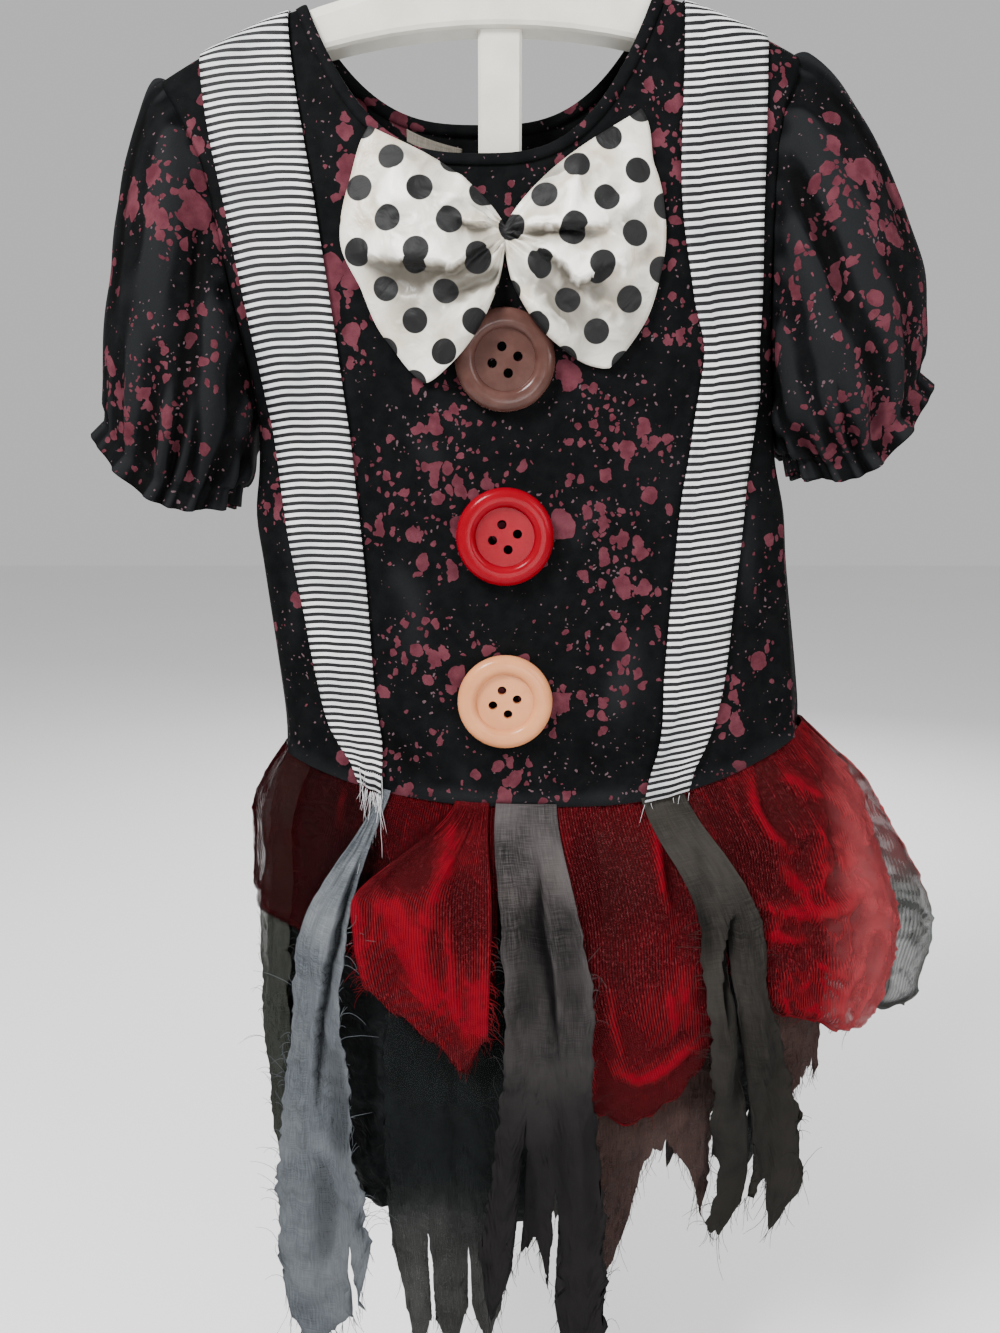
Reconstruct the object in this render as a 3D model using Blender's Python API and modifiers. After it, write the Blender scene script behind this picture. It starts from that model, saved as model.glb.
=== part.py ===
"""A child's clown dress hanging on a moulded plastic hanger.

The origin is the seat of the hanger's hook, +Z is up and the front of the dress faces -Y.
Sizes and tables are in millimetres; points become metres when a mesh is made.
Angles round the skirt are degrees from the front centre, positive towards +X.
"""

from collections import namedtuple
from math import cos, exp, hypot, pi, radians, sin, sqrt

import bmesh
import bpy
from mathutils import Matrix, Vector

MM = 0.001
SEAM = 0.3                      # gap between two sewn pieces
SHOULDER_CLEAR = 0.35           # how far each panel stops from the shoulder seam's plane
SIDE_CLEAR = 0.65               # and from the side seam's plane, where its wall turns edge on
CLOTH = 1.2                     # wall of the bodice cloth and the straps
LIGHT_CLOTH = 1.0               # wall of the skirt's cloths and the bow

# shoulders and neck
SHOULDER_TOP = -57.0            # shoulder line above the hanger's middle
SHOULDER_FALL = 0.0016          # how fast the shoulder line falls away from the middle
SHOULDER_ROLL = 14.0            # radius of the cloth over the hanger
SHOULDER_SLOPE = 140.0          # drop over which the cloth reaches its full depth
TIP_HEIGHT = {"left": -112.0, "right": -100.0}
NECK_LEFT, NECK_RIGHT = -109.0, 88.0
NECK_LOW = {"front": -161.0, "back": -130.0}
NECK_CURVE = 3.0                # the neck is a soft V
BODY_CURVE = 2.6                # 2 is an ellipse, more is squarer
BINDING_WIDTH = 4.5             # how far the neck binding carries the cloth into the opening

# waist seam: lowest height at the middle, and the rise at each side
WAIST_LOW = {"front": -515.0, "back": -499.0}
WAIST_SIDE = {"left": -486.0, "right": -471.5}
WAIST_CURVE = 2.5
WAIST_GAP = 0.6

Body = namedtuple("Body", "height left right front back edge")
BODY = (
    Body(-50, -186, 165, 30, 27, 14),
    Body(-112, -185, 161, 33, 28, 20),
    Body(-130, -176, 154, 34, 29, 23),
    Body(-161, -161, 150, 35, 30, 26),
    Body(-203, -152, 149, 36, 31, 26),
    Body(-245, -145, 151, 36, 32, 20),
    Body(-280, -141, 156, 36, 33, 9),
    Body(-296, -141, 159, 36, 33, 0),
    Body(-320, -142, 163, 36, 33, 0),
    Body(-346, -145, 169, 36, 33, 0),
    Body(-375, -142, 172, 36, 33, 0),
    Body(-461, -133, 184, 36, 33, 0),
    Body(-486, -132, 185, 36, 33, 0),
    Body(-530, -132, 185, 36, 33, 0),
)

# straps: centre and width at each height, front and back
STRAP_END = 0.03                # share of the last row by which an end stops above the waist seam
Strap = namedtuple("Strap", "height centre width back_centre back_width")
STRAPS = {
    "strap_left": (
        Strap(-60, -137, 48, -137, 48),
        Strap(-102, -136.5, 48, -136, 47),
        Strap(-178, -123, 46.5, -124, 46),
        Strap(-283, -108, 44.5, -108, 46),
        Strap(-338, -102, 43.5, -100, 46),
        Strap(-395, -95.5, 39.5, -92, 44),
        Strap(-454, -89.5, 34, -84, 42),
        Strap(-491, -82, 28, -79, 40),
        Strap(-520, -76, 16, -76, 36),
    ),
    "strap_right": (
        Strap(-60, 121.5, 45, 121.5, 45),
        Strap(-102, 121, 45, 121, 45),
        Strap(-178, 119.5, 45, 116, 45),
        Strap(-230, 124, 38, 112, 45),
        Strap(-256, 127.5, 31.5, 110, 45),
        Strap(-283, 127.5, 36, 109, 45),
        Strap(-338, 120.5, 37.5, 107, 45),
        Strap(-424, 114, 37.5, 106, 44),
        Strap(-460, 111, 33, 106, 42),
        Strap(-490, 101, 30, 106, 40),
        Strap(-520, 92, 30, 106, 36),
    ),
}

Sleeve = namedtuple("Sleeve", "name side cuff_x cuff_z tilt cuff_half sag cap puff")
SLEEVES = (
    Sleeve("sleeve_left", "left", -192, -311, 27, 42, 18, 25, 28),
    Sleeve("sleeve_right", "right", 205, -288, 33, 43, 24, 20, 54),
)
UNDERARM = -294.0
CUFF_DEPTH = 28.0               # half the cuff's depth from front to back
FRILL, FRILL_FLARE = 11.0, 2.5  # cloth below the cuff's elastic, and how far it spreads
CUFF_WAVES = 15
CAP_WAVES = 8                   # gathers over the top of the sleeve

# hanger
ARCH_HALF_SPAN = 156.0
ARCH_LOW, ARCH_LOW_FALL = -86.0, 0.0013
ARCH_HALF_THICK = 10.0
ARCH_ROUND = 8.0
STRUT = {"half_width": 12.0, "front": -6.0, "back": 4.0, "foot": -222.0}
HOOK_RADIUS, HOOK_WIRE = 22.5, 4.5

# buttons
BUTTON_RADIUS = 27.5
BUTTON_BACK = -37.1
Button = namedtuple("Button", "name x z colour")
BUTTONS = (
    Button("button_brown", 2.7, -262.8, (0.155, 0.058, 0.05)),
    Button("button_red", 2.8, -358.4, (0.68, 0.008, 0.012)),
    Button("button_peach", 2.9, -453.4, (0.8, 0.47, 0.32)),
)
HOLE_RADIUS, HOLE_REACH = 2.6, 7.2

# bow: each wing is a fan of rays from the pinch, given from its top edge to its bottom edge
BOW_X, BOW_Z = 2.6, -198.7
PINCH_HALF = 5.0
Wing = namedtuple("Wing", "side top top_flare bottom bottom_flare reaches")
WINGS = {
    "left": Wing(-1, 38, 24, -60, -27, (91, 87, 88, 82, 84, 88)),
    "right": Wing(1, 42, 20, -50, -37, (97, 87, 86, 86, 88, 89)),
}
Crease = namedtuple("Crease", "side across width depth near far")
BOW_CREASES = (
    Crease(-1, 0.30, 0.10, 3.5, 0.05, 0.55),
    Crease(-1, 0.62, 0.09, 5.5, 0.02, 0.95),
    Crease(1, 0.45, 0.08, 4.5, 0.02, 0.60),
    Crease(1, 0.72, 0.09, 5.5, 0.02, 0.80),
)

# skirt
Skirt = namedtuple("Skirt", "drop centre half front back square")
SKIRT = (
    Skirt(0, 26.5, 158.5, 36, 33, 2.6),
    Skirt(15, 27, 166, 39, 36, 2.4),
    Skirt(40, 29, 172.5, 45, 41, 2.2),
    Skirt(75, 29.5, 174, 51, 46, 2),
    Skirt(115, 28.5, 175.5, 55, 49, 2),
    Skirt(195, 26, 175, 58, 51, 2),
    Skirt(245, 24, 172, 57, 51, 2),
    Skirt(295, 20, 163, 55, 50, 2),
    Skirt(415, 12, 146, 50, 46, 2),
)
GATHER = 5.0                    # depth of the skirt's long waves at the hem
WAVES = 11
LINING_COLUMNS = 48
Hem = namedtuple("Hem", "angle height")
HEM = (
    Hem(-90, -766), Hem(-35, -778), Hem(-5, -776), Hem(15, -740), Hem(32, -704), Hem(60, -708),
    Hem(90, -722), Hem(140, -760), Hem(200, -770), Hem(270, -766),
)

# how far each layer stands from the lining: at the waist seam, and lower down
Layer = namedtuple("Layer", "near far swell")
LAYERS = {
    "lining": Layer(-2.4, 0, 0),
    "under": Layer(-0.5, 5, 0),
    "overlay": Layer(1.4, 10, 1),
    "top": Layer(3.3, 17, 1),
}
Swell = namedtuple("Swell", "angle out")
SWELLS = (
    Swell(-90, 1), Swell(-45, 7), Swell(0, 8), Swell(25, 9), Swell(45, 16), Swell(62, 30),
    Swell(78, 44), Swell(95, 48), Swell(120, 28), Swell(150, 13), Swell(200, 10), Swell(270, 1),
)
Puff = namedtuple("Puff", "drop share")
PUFFS = (
    Puff(0, 0), Puff(35, 0.22), Puff(65, 0.48), Puff(95, 0.8), Puff(125, 0.96), Puff(150, 0.88),
    Puff(195, 0.55), Puff(300, 0.25), Puff(420, 0.1),
)

# each skirt piece: its angles at the waist, at a middle height and at its low end, the heights of
# its lower edge from one side to the other, and the rips as (place in that list, start height)
Piece = namedtuple("Piece", "name layer top mid low middle ends rips pleats flare")
PIECES = (
    Piece("overlay_left", "overlay", (-90, -11), (-92, -11), (-92, -11), -560,
          (-588, -590, -594, -598, -602, -610, -618, -628, -634), (), 4, 0),
    Piece("overlay_flap", "top", (-19.5, -12), (-39.5, -11), (-30, -11), -570,
          (-625, -641, -656, -677, -652), (), 2, 0),
    Piece("overlay_centre", "overlay", (-9, 29), (-5, 32), (8, 35), -600,
          (-694, -712, -719, -714, -702, -684, -656), (), 3, 0),
    Piece("overlay_right", "overlay", (31, 87), (34, 88), (36, 88), -590,
          (-612, -636, -648, -652, -662, -668, -660, -640), (), 4, 0),
    Piece("overlay_back_right", "overlay", (89, 144), (90, 144), (90, 142), -590,
          (-640, -662, -668, -652, -648, -660, -668), (), 3, 0),
    Piece("overlay_back", "overlay", (146, 207), (146, 208), (144, 208), -600,
          (-690, -704, -698, -684, -690, -706, -694), (), 3, 0),
    Piece("overlay_back_left", "overlay", (209, 268), (210, 266), (210, 266), -580,
          (-634, -622, -612, -618, -626, -606, -592), (), 3, 0),
    Piece("tatter_left", "top", (-37.5, -35), (-54, -41), (-69, -33), -600,
          (-846, -890, -872, -853, -792), ((3, -800),), 0, 0),
    Piece("tatter_centre", "top", (-10.5, 2.5), (-8, 8), (-13, 18), -640,
          (-790, -842, -786, -775, -812, -872, -892, -850), ((2, -692), (4, -735)), 0, 0),
    Piece("tatter_right", "top", (21, 31), (29, 42), (37, 64), -590,
          (-780, -790, -765, -752, -796, -756), ((2, -575),), 0, 0),
    Piece("tatter_back_left", "top", (236, 246), (234, 246), (228, 250), -640,
          (-800, -848, -790, -826, -860, -806), ((2, -690),), 0, 0),
    Piece("tatter_back", "top", (180, 192), (178, 194), (172, 196), -640,
          (-810, -868, -828, -850, -884, -820), ((2, -720),), 0, 0),
    Piece("tatter_back_right", "top", (126, 136), (124, 138), (120, 144), -620,
          (-770, -820, -760, -790, -834, -780), ((3, -660),), 0, 0),
    Piece("sheer_right", "top", (91, 112), (91, 113), (91, 112), -590,
          (-676, -692, -692, -680, -650), (), 0, 34),
    Piece("under_far_left", "under", (-80, -62), (-88, -62), (-82, -56), -650,
          (-752, -786, -768, -742), (), 0, 0),
    Piece("under_left", "under", (-32, -10), (-33, -7), (-31, -4), -700,
          (-800, -884, -856, -886, -842, -872, -810), ((2, -790), (4, -800)), 0, 0),
    Piece("under_centre", "under", (10, 35), (10, 36), (14, 42), -700,
          (-852, -814, -744, -726, -748, -787), (), 0, 0),
    Piece("under_right", "under", (50, 78), (50, 79), (52, 82), -620,
          (-744, -706, -684, -700, -682), (), 0, 7),
    Piece("under_back_right", "under", (100, 124), (100, 125), (102, 126), -700,
          (-770, -812, -760, -786, -752), (), 0, 0),
    Piece("under_back", "under", (154, 176), (152, 177), (152, 176), -700,
          (-800, -862, -826, -872, -814), ((2, -780),), 0, 0),
    Piece("under_back_left", "under", (206, 232), (206, 231), (206, 230), -700,
          (-806, -850, -812, -838, -780), (), 0, 0),
)
PIECE_ROWS = (0, 0.035, 0.11, 0.22, 0.36, 0.52, 0.68, 0.85, 1)
SHORT_ROWS = (0, 0.07, 0.2, 0.4, 0.62, 0.82, 1)
SHORT_DROP = 240.0
RIP_HALF = 4.5                  # how far each side of a rip stands off at its low end

# grid lines of the bodice panels: shares of the drop under the shoulders and under the neck, of
# the stretch between side and strap, of a strap's width, and of half the neck's width
SHOULDER_DOWN = (0, 0.0035, 0.012, 0.032, 0.08, 0.16, 0.27, 0.41, 0.57, 0.78, 1)
NECK_DOWN = (0, 0.03, 0.07, 0.12, 0.19, 0.28, 0.38, 0.5, 0.64, 0.81, 1)
SIDE_ACROSS = (0, 0.3)
STRAP_ACROSS = (0, 0.25, 0.5, 0.75, 1)
NECK_ACROSS = (1, 0.9939, 0.979, 0.939, 0.86, 0.72, 0.5, 0.25)

COLOURS = {
    "black_cloth": (0.012, 0.012, 0.014),
    "striped_cloth": (0.62, 0.62, 0.62),
    "satin": (0.82, 0.79, 0.74),
    "lining_cloth": (0.006, 0.007, 0.008),
    "red_mesh": (0.28, 0.006, 0.012),
    "grey_cloth": (0.1, 0.098, 0.098),
    "light_grey_cloth": (0.27, 0.3, 0.34),
    "hanger_plastic": (0.8, 0.79, 0.74),
    "label_tape": (0.6, 0.57, 0.5),
}


def smooth(share):
    share = min(1.0, max(0.0, share))
    return share * share * (3 - 2 * share)


def mix(start, end, share):
    return start + (end - start) * share


def read(rows, key, column, where):
    """A column of a table at any place along its key column, as a smooth curve through its rows."""
    keys = [getattr(row, key) for row in rows]
    values = [getattr(row, column) for row in rows]
    if keys[0] > keys[-1]:
        keys = [-number for number in keys]
        where = -where
    where = min(max(where, keys[0]), keys[-1])
    low = max(index for index in range(len(keys) - 1) if keys[index] <= where)

    def slope(index):
        before, after = max(0, index - 1), min(len(keys) - 1, index + 1)
        return (values[after] - values[before]) / (keys[after] - keys[before])

    span = keys[low + 1] - keys[low]
    share = (where - keys[low]) / span
    bend_in = slope(low) * span * share * (1 - share) ** 2
    bend_out = slope(low + 1) * span * share * share * (share - 1)
    return mix(values[low], values[low + 1], smooth(share)) + bend_in + bend_out


def material(name, colour, roughness=0.85):
    made = bpy.data.materials.get(name) or bpy.data.materials.new(name)
    made.use_nodes = True
    shader = made.node_tree.nodes["Principled BSDF"]
    shader.inputs["Base Color"].default_value = (*colour, 1)
    shader.inputs["Roughness"].default_value = roughness
    made.diffuse_color = (*colour, 1)
    return made


def place(name, mesh, colour_name, roughness=0.85, colour=None):
    piece = bpy.data.objects.new(name, mesh)
    piece.data.materials.append(material(colour_name, colour or COLOURS[colour_name], roughness))
    costume.objects.link(piece)
    return piece


def sheet(name, columns, wall, colour_name, ring=False):
    """A cloth wall on a grid of points. Each column runs from the top down, and a column may be a
    pair of lists, whose points below a rip lie apart and above it are the same. Facets are split
    from the upper left corner unless the other way is much shorter, so that two sheets on one grid
    stay clear of each other."""
    mesh = bpy.data.meshes.new(name)
    build = bmesh.new()
    made = {}

    def vertex(point):
        spot = tuple(round(number, 4) for number in point)
        if spot not in made:
            made[spot] = build.verts.new(Vector(point) * MM)
        return made[spot]

    count = len(columns)
    for index in range(count if ring else count - 1):
        here, there = columns[index], columns[(index + 1) % count]
        left = here[1] if isinstance(here, tuple) else here
        right = there[0] if isinstance(there, tuple) else there
        for row in range(len(left) - 1):
            corners = [vertex(spot) for spot in (left[row], left[row + 1], right[row + 1], right[row])]
            if left[row + 1].z > left[row].z:
                corners = corners[1:] + corners[:1]
            split, other = (corners[2].co - corners[0].co).length, (corners[3].co - corners[1].co).length
            if split > 1.25 * other:
                corners = corners[1:] + corners[:1]
            build.faces.new((corners[0], corners[1], corners[2]))
            build.faces.new((corners[0], corners[2], corners[3]))
    build.to_mesh(mesh)
    build.free()
    mesh.shade_smooth()
    piece = place(name, mesh, colour_name)
    shell = piece.modifiers.new("cloth wall", "SOLIDIFY")
    shell.thickness = wall * MM
    shell.offset = 0
    return piece


# bodice


def shoulder_height(x):
    return SHOULDER_TOP - SHOULDER_FALL * x * x


def neck_height(x, face):
    middle, half = (NECK_LEFT + NECK_RIGHT) / 2, (NECK_RIGHT - NECK_LEFT) / 2
    across = min(1, abs(x - middle) / half)
    shoulder = shoulder_height(NECK_LEFT if x < middle else NECK_RIGHT)
    return mix(NECK_LOW[face], shoulder, across ** NECK_CURVE)


def top_height(x, face):
    return neck_height(x, face) if NECK_LEFT < x < NECK_RIGHT else shoulder_height(x)


def waist_height(across, face):
    """The waist seam's height, where across runs from -1 at the left side to 1 at the right."""
    side = WAIST_SIDE["left" if across < 0 else "right"]
    return mix(WAIST_LOW[face], side, min(1, abs(across)) ** WAIST_CURVE)


def body(column, height):
    return read(BODY, "height", column, height)


def body_depth(x, z, face):
    """How far the front or back cloth stands from the hanger's middle plane."""
    left, right = body("left", z), body("right", z)
    across = min(1, abs(2 * x - left - right) / (right - left))
    crown = (1 - across ** BODY_CURVE) ** (1 / BODY_CURVE)
    edge = body("edge", z)
    full = mix(edge, body(face, z), crown)
    drop = max(0, shoulder_height(x) - z)
    roll = min(SHOULDER_ROLL, full)
    if drop < roll:
        return max(SHOULDER_CLEAR, sqrt(roll * roll - (roll - drop) ** 2))
    settled = min(1, (drop - roll) / SHOULDER_SLOPE)
    return max(SIDE_CLEAR, mix(full, roll, (1 - settled) ** 2))


def side_x(side, down):
    return body(side, mix(TIP_HEIGHT[side], WAIST_SIDE[side], down))


def panel_point(across, down, face):
    """A point of the front or back panel, from 0 to 1 across and from 0 to 1 down."""
    x = mix(side_x("left", down), side_x("right", down), across)
    top = top_height(mix(side_x("left", 0), side_x("right", 0), across), face)
    z = mix(top, waist_height(2 * across - 1, face), down)
    depth = body_depth(x, z, face)
    return Vector((x, -depth if face == "front" else depth, z))


def panel_normal(across, down, face):
    step = 0.0004
    low, high = max(0, across - step), min(1, across + step)
    up, below = max(0, down - step), min(1, down + step)
    along = panel_point(high, down, face) - panel_point(low, down, face)
    fall = panel_point(across, below, face) - panel_point(across, up, face)
    normal = fall.cross(along).normalized()
    return normal if face == "front" else -normal


def lifted(spot, face, lift):
    return panel_point(*spot, face) + panel_normal(*spot, face) * lift


def strap_edges(name, down, face):
    prefix = "" if face == "front" else "back_"
    z = panel_point(0.15 if name == "strap_left" else 0.85, down, face).z
    centre = read(STRAPS[name], "height", prefix + "centre", z)
    width = read(STRAPS[name], "height", prefix + "width", z)
    return centre - width / 2, centre + width / 2


def grid_marks(down, face):
    """The panel's edges and the straps' edges at one drop, from left to right."""
    left, right = strap_edges("strap_left", down, face), strap_edges("strap_right", down, face)
    return side_x("left", down), *left, *right, side_x("right", down)


def neck_shares():
    """Where the neck's grid lines lie between the straps, as shares of that stretch."""
    marks = grid_marks(0, "front")
    middle, half = (NECK_LEFT + NECK_RIGHT) / 2, (NECK_RIGHT - NECK_LEFT) / 2
    spots = [middle - half * share for share in NECK_ACROSS] + [middle]
    spots += [middle + half * share for share in reversed(NECK_ACROSS)]
    return [(spot - marks[2]) / (marks[3] - marks[2]) for spot in spots]


def grid_lines():
    """Each upright grid line of a panel, as the stretch it lies in and its share of that stretch."""
    lines = [(0, share) for share in SIDE_ACROSS]
    lines += [(1, share) for share in STRAP_ACROSS]
    lines += [(2, share) for share in neck_shares()]
    lines += [(3, share) for share in STRAP_ACROSS]
    return lines + [(4, 1 - share) for share in reversed(SIDE_ACROSS)]


def grid_column(line, face):
    """The (across, down) spots of one grid line, closer together over the shoulders."""
    stretch, share = line
    top_marks = grid_marks(0, face)
    top_x = mix(top_marks[stretch], top_marks[stretch + 1], share)
    under_neck = smooth((shoulder_height(top_x) - top_height(top_x, face)) / 30)
    spots = []
    for shoulder_down, neck_down in zip(SHOULDER_DOWN, NECK_DOWN):
        down = mix(shoulder_down, neck_down, under_neck)
        marks = grid_marks(down, face)
        x = mix(marks[stretch], marks[stretch + 1], share)
        spots.append(((x - marks[0]) / (marks[-1] - marks[0]), down))
    return spots


def make_bodice():
    for face in ("front", "back"):
        lines = [grid_column(line, face) for line in grid_lines()]
        sheet("bodice_" + face, [[panel_point(*spot, face) for spot in line] for line in lines], CLOTH, "black_cloth")


def make_neck_binding():
    """A narrow band that carries on from the neck's edge, all the way round."""
    spots = []
    for face in ("front", "back"):
        neck = [(grid_column((2, share), face)[0][0], face) for share in neck_shares()]
        spots += neck if face == "front" else neck[-2:0:-1]
    points = [panel_point(across, 0, face) for across, face in spots]
    normals = [panel_normal(across, 0, face) for across, face in spots]
    for index in (0, len(NECK_ACROSS) * 2):
        points[index].y = 0
        normals[index] = Vector((2 * SHOULDER_FALL * points[index].x, 0, 1)).normalized()
    columns = []
    for index, point in enumerate(points):
        along = points[(index + 1) % len(points)] - points[index - 1]
        inward = normals[index].cross(along).normalized()
        columns.append([point + inward * BINDING_WIDTH, point + inward * 2 * SEAM])
    sheet("neck_binding", columns, LIGHT_CLOTH, "black_cloth", ring=True)


def make_label():
    """A blank tape, folded and sewn inside the back of the neck."""
    columns = []
    for step in range(6):
        x = mix(-54, -22, step / 5)
        column = []
        for drop in (0, 6, 12):
            z = neck_height(x, "back") - 5 - drop
            column.append(Vector((x, body_depth(x, z, "back") - CLOTH / 2 - 0.5 - LIGHT_CLOTH / 2, z)))
        columns.append(column)
    sheet("neck_label", columns, LIGHT_CLOTH, "label_tape")


def make_straps():
    """Each strap is its stretch of the panels' grid, moved out, from the front waist over the
    shoulder to the back waist."""
    lift = CLOTH + 0.5
    for name, stretch in (("strap_left", 1), ("strap_right", 3)):
        columns = []
        for share in STRAP_ACROSS:
            front, back = (grid_column((stretch, share), face) for face in ("front", "back"))
            column = [lifted(spot, "front", lift) for spot in reversed(front)]
            column[0] += (column[1] - column[0]) * STRAP_END
            column[-1].y = 0
            column += [lifted(spot, "back", lift) for spot in back[1:]]
            column[-1] += (column[-2] - column[-1]) * STRAP_END
            columns.append(column)
        sheet(name, columns, CLOTH, "striped_cloth")


# sleeves


def armhole_point(side, turn):
    """A point of the armhole, from 0 at the shoulder through 90 in front to 180 under the arm."""
    z = mix(TIP_HEIGHT[side], UNDERARM, (1 - cos(radians(turn))) / 2)
    x = body(side, z)
    depth = body_depth(x, z, "front" if turn <= 180 else "back")
    return Vector((x, -depth if turn <= 180 else depth, z))


def sleeve_point(sleeve, turn, along):
    """A point of the puffed sleeve: along is 0 at the armhole, 1 at the elastic and 1.1 at the frill."""
    out = -1 if sleeve.side == "left" else 1
    tilt = radians(sleeve.tilt)
    across = Vector((out * cos(tilt), 0, sin(tilt)))
    axis = Vector((out * sin(tilt), 0, -cos(tilt)))
    ring = across * cos(radians(turn)) * sleeve.cuff_half - Vector((0, sin(radians(turn)) * CUFF_DEPTH, 0))
    cuff = Vector((sleeve.cuff_x, 0, sleeve.cuff_z - sleeve.sag * sin(radians(turn)) ** 2)) + ring
    start = armhole_point(sleeve.side, turn) + Vector((out * 1.5, 0, 0))
    reach = (cuff - start).length
    outer = (1 + cos(radians(turn))) / 2
    front = -sin(radians(turn))
    first = start + Vector((out * reach * sleeve.cap / 187, front * 16, 8 * outer))
    second = cuff - axis * reach * 0.38 + ring.normalized() * mix(7, sleeve.puff, outer)
    second.y += front * 12
    share = min(1, along)
    point = (
        start * (1 - share) ** 3 + first * 3 * share * (1 - share) ** 2
        + second * 3 * share * share * (1 - share) + cuff * share ** 3
    )
    if along > 1:
        point += (axis * FRILL + ring.normalized() * FRILL_FLARE) * (along - 1) * 10
    # gathers: over the cap at the armhole, and all round at the elastic
    cap = sin(radians(turn) * CAP_WAVES) * max(0, outer - 0.25) * 3.2 * smooth(along / 0.12) * (1 - smooth(along / 0.5))
    pull = 2.6 * smooth((along - 0.62) / 0.3) if along < 0.97 else 1.2 + 16 * max(0, along - 1)
    wave = sin(radians(turn) * CUFF_WAVES) * pull
    away = Vector((0.3 * out * outer, front, cos(radians(turn)))).normalized()
    return point + away * cap + ring.normalized() * wave


def make_sleeves():
    alongs = (0, 0.07, 0.17, 0.3, 0.46, 0.62, 0.77, 0.89, 0.97, 1.0, 1.1)
    count = 2 * CUFF_WAVES
    for sleeve in SLEEVES:
        columns = []
        for index in range(count):
            turn = 360 * (index + 0.5) / count
            columns.append([sleeve_point(sleeve, turn, along) for along in alongs])
        sheet(sleeve.name, columns, CLOTH, "black_cloth", ring=True)


# bow


def bow_rest(x, z):
    """The depth at which the bow's back lies: on the bodice, and over the edge of the top button."""
    top = BUTTONS[0]
    away = hypot(x - top.x, z - top.z)
    over_button = 10.5 * (1 - smooth((away - BUTTON_RADIUS - 1) / 16))
    return body_depth(x, z, "front") + CLOTH / 2 + 0.5 + LIGHT_CLOTH / 2 + over_button


def bow_point(along, across, back):
    """along runs from -1 at the left end to 1 at the right, across from the top edge to the bottom."""
    wing = WINGS["left" if along < 0 else "right"]
    out = abs(along)
    top = wing.top + wing.top_flare * (1 - out) ** 1.3
    bottom = wing.bottom + wing.bottom_flare * (1 - out) ** 0.8
    angle = radians(mix(top, bottom, across))
    place_in = across * (len(wing.reaches) - 1)
    low = min(int(place_in), len(wing.reaches) - 2)
    reach = mix(wing.reaches[low], wing.reaches[low + 1], smooth(place_in - low)) * out
    x = BOW_X + wing.side * reach * cos(angle)
    z = BOW_Z + reach * sin(angle) + PINCH_HALF * (1 - 2 * across) * (1 - out) ** 2
    body_share = sqrt(max(0, sin(pi * across)))
    thick = 2.2 + (3.5 * (1 - out) + 12 * sin(pi * out ** 0.85)) * body_share
    for crease in BOW_CREASES:
        if crease.side != wing.side or not crease.near < out < crease.far:
            continue
        fade = sin(pi * (out - crease.near) / (crease.far - crease.near))
        thick -= crease.depth * fade * exp(-(((across - crease.across) / crease.width) ** 2))
    return Vector((x, -bow_rest(x, z) - (0 if back else max(2.2, thick)), z))


def make_bow():
    alongs = (-1, -0.92, -0.76, -0.58, -0.4, -0.22, -0.08, 0, 0.08, 0.22, 0.4, 0.58, 0.76, 0.92, 1)
    places = (0, 0.13, 0.26, 0.38, 0.5, 0.62, 0.74, 0.88, 1)
    rim = [(place_in, False) for place_in in places] + [(place_in, True) for place_in in places[::-1]]
    columns = [[bow_point(along, across, back) for along in alongs] for across, back in rim]
    sheet("bow", columns, LIGHT_CLOTH, "satin", ring=True)


# buttons


def make_button(button):
    profile = (
        (0, 4.6), (15.5, 4.6), (17.6, 5.6), (21, 7.9), (24, 8.1),
        (26.6, 6.4), (BUTTON_RADIUS, 3.8), (24.5, 0), (0, 0),
    )
    build = bmesh.new()
    spots = [build.verts.new((radius * MM, 0, height * MM)) for radius, height in profile]
    for first, second in zip(spots, spots[1:]):
        build.edges.new((first, second))
    mesh = bpy.data.meshes.new(button.name)
    build.to_mesh(mesh)
    build.free()
    piece = place(button.name, mesh, button.name + "_plastic", 0.25, button.colour)
    turned = piece.modifiers.new("turned", "SCREW")
    turned.steps = turned.render_steps = 22
    turned.use_merge_vertices = True
    turned.merge_threshold = 0.00005
    piece.rotation_euler = (radians(90), 0, 0)
    piece.location = (button.x * MM, BUTTON_BACK * MM, button.z * MM)
    for index in range(4):
        angle = radians(14 + 90 * index)
        build = bmesh.new()
        bmesh.ops.create_cone(build, cap_ends=True, segments=6, radius1=HOLE_RADIUS * MM,
                              radius2=HOLE_RADIUS * MM, depth=20 * MM)
        hole = bpy.data.meshes.new("hole")
        build.to_mesh(hole)
        build.free()
        cutter = bpy.data.objects.new(f"{button.name}_hole_{index}", hole)
        cutters.objects.link(cutter)
        cutter.hide_render = True
        cutter.display_type = "WIRE"
        cutter.parent = piece
        cutter.location = (HOLE_REACH * cos(angle) * MM, HOLE_REACH * sin(angle) * MM, 3 * MM)
        cut = piece.modifiers.new("hole", "BOOLEAN")
        cut.object = cutter


# skirt


def swell_out(angle, drop):
    """How far the puffed layers stand out, by the angle and by the drop below the waist seam."""
    around = (angle + 90) % 360 - 90
    return read(SWELLS, "angle", "out", around) * read(PUFFS, "drop", "share", drop)


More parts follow.
